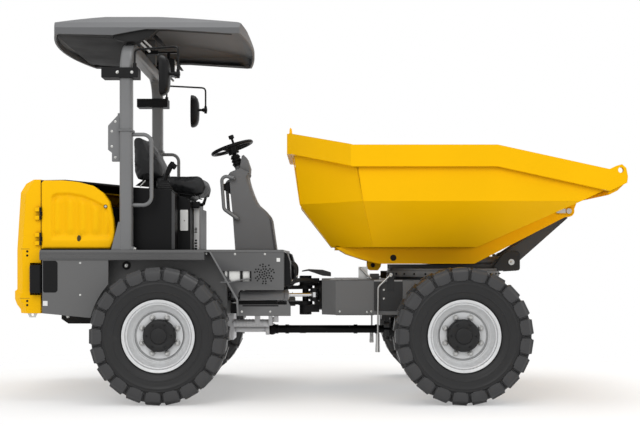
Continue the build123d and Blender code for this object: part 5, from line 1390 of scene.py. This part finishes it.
made("tip_ram_gland", gland_bm, ram_paint, "tip_barrel", 0.002)


# ---------------------------------------------------------------- skip
# Steel sheet 8 mm thick, folded and welded, in gloss yellow like the hood. A folded band stiffens
# its top edge; two rails below carry the tip pins. Weld beads follow the seams; plates are blank.
skip_yellow = painted("skip_yellow", SIGNAL_YELLOW, rough=0.40, mottle=0.02, peel=0.2, rounding=0.005,
                      gleam=0.06)
dress(skip_yellow, "skip_tub", "skip_rim", "skip_underframe")


def weld_beads(bm, points, radius=0.0045, pitch=0.009):
    """A run of weld ripples along straight lines between points."""
    for a, b in zip(points, points[1:]):
        a, b = Vector(a), Vector(b)
        count = max(2, int((b - a).length / pitch))
        for n in range(count):
            rod(bm, a.lerp(b, n / count), a.lerp(b, (n + 1.1) / count), radius, 6, radius * 0.62)


RAIL_Y, RAIL_LINE = 0.2225, ((0.240, 1.123), (1.213, 1.123), (1.950, 1.471))
pin_bolts = []
bead_bm, pin_bm, flag_bm, hole_bm, eye_bm, tail_pin_bm = [bmesh.new() for n in range(6)]
for side in (RIGHT, LEFT):
    # corner seams of the tub, floor to the band
    low_rear, low_side = (0.124, side * 0.150, 1.126), (0.4287, side * 0.460, 1.126)
    mid_rear, mid_side = (-0.121, side * 0.370, 1.447), (0.3361, side * 0.835, 1.447)
    top_rear, top_side = (-0.173, side * 0.386, 1.800), (0.285, side * 0.846, 1.700)
    weld_beads(bead_bm, [low_side, mid_side, top_side])
    weld_beads(bead_bm, [low_rear, mid_rear, top_rear])
    weld_beads(bead_bm, [(x, side * RAIL_Y, z) for x, z in RAIL_LINE])
    # flag pins of the tip pivot with their keeper plates
    rod(pin_bm, (TIP_PIN.x, side * 0.2335, TIP_PIN.z), (TIP_PIN.x, side * 0.2400, TIP_PIN.z), 0.0215, 32)
    prism(flag_bm, [(1.935, 1.388), (1.868, 1.388), (1.858, 1.398), (1.858, 1.412), (1.868, 1.422),
                    (1.935, 1.422)], side * 0.2302, side * 0.2365)
    pin_bolts.append(on_side(side, 1.880, 0.2365, 1.405))
    # ear on the band's rear corner, the tail pin, and the ram's pin hole as a black disc of painted shade
    prism(eye_bm, [(-0.205, 1.972), (-0.179, 1.966), (-0.184, 2.022), (-0.193, 2.038), (-0.202, 2.028)],
          side * 0.318, side * 0.332)
    rod(tail_pin_bm, (0.449, side * 0.0702, 0.983), (0.449, side * 0.0790, 0.983), 0.017, 28)
    rod(hole_bm, (0.600, side * 0.2222, 1.042), (0.600, side * 0.2245, 1.042), 0.024, 32)
made("skip_welds", bead_bm, skip_yellow, "skip", 0)
made("rear_rim_eyes", eye_bm, skip_yellow, "skip", 0.002)
made("tail_pins", tail_pin_bm, black_steel, "skip", 0.002)
made("ram_pin_holes", hole_bm, black_seal_and_gap_shade, "skip", 0.002)
made("tip_pins", pin_bm, nut_zinc, "skip", 0.002)
made("tip_pin_keepers", flag_bm, nut_zinc, "skip", 0.001)
repeated("tip_pin_bolts", cap_screw, pin_bolts, bright_screw, "skip")
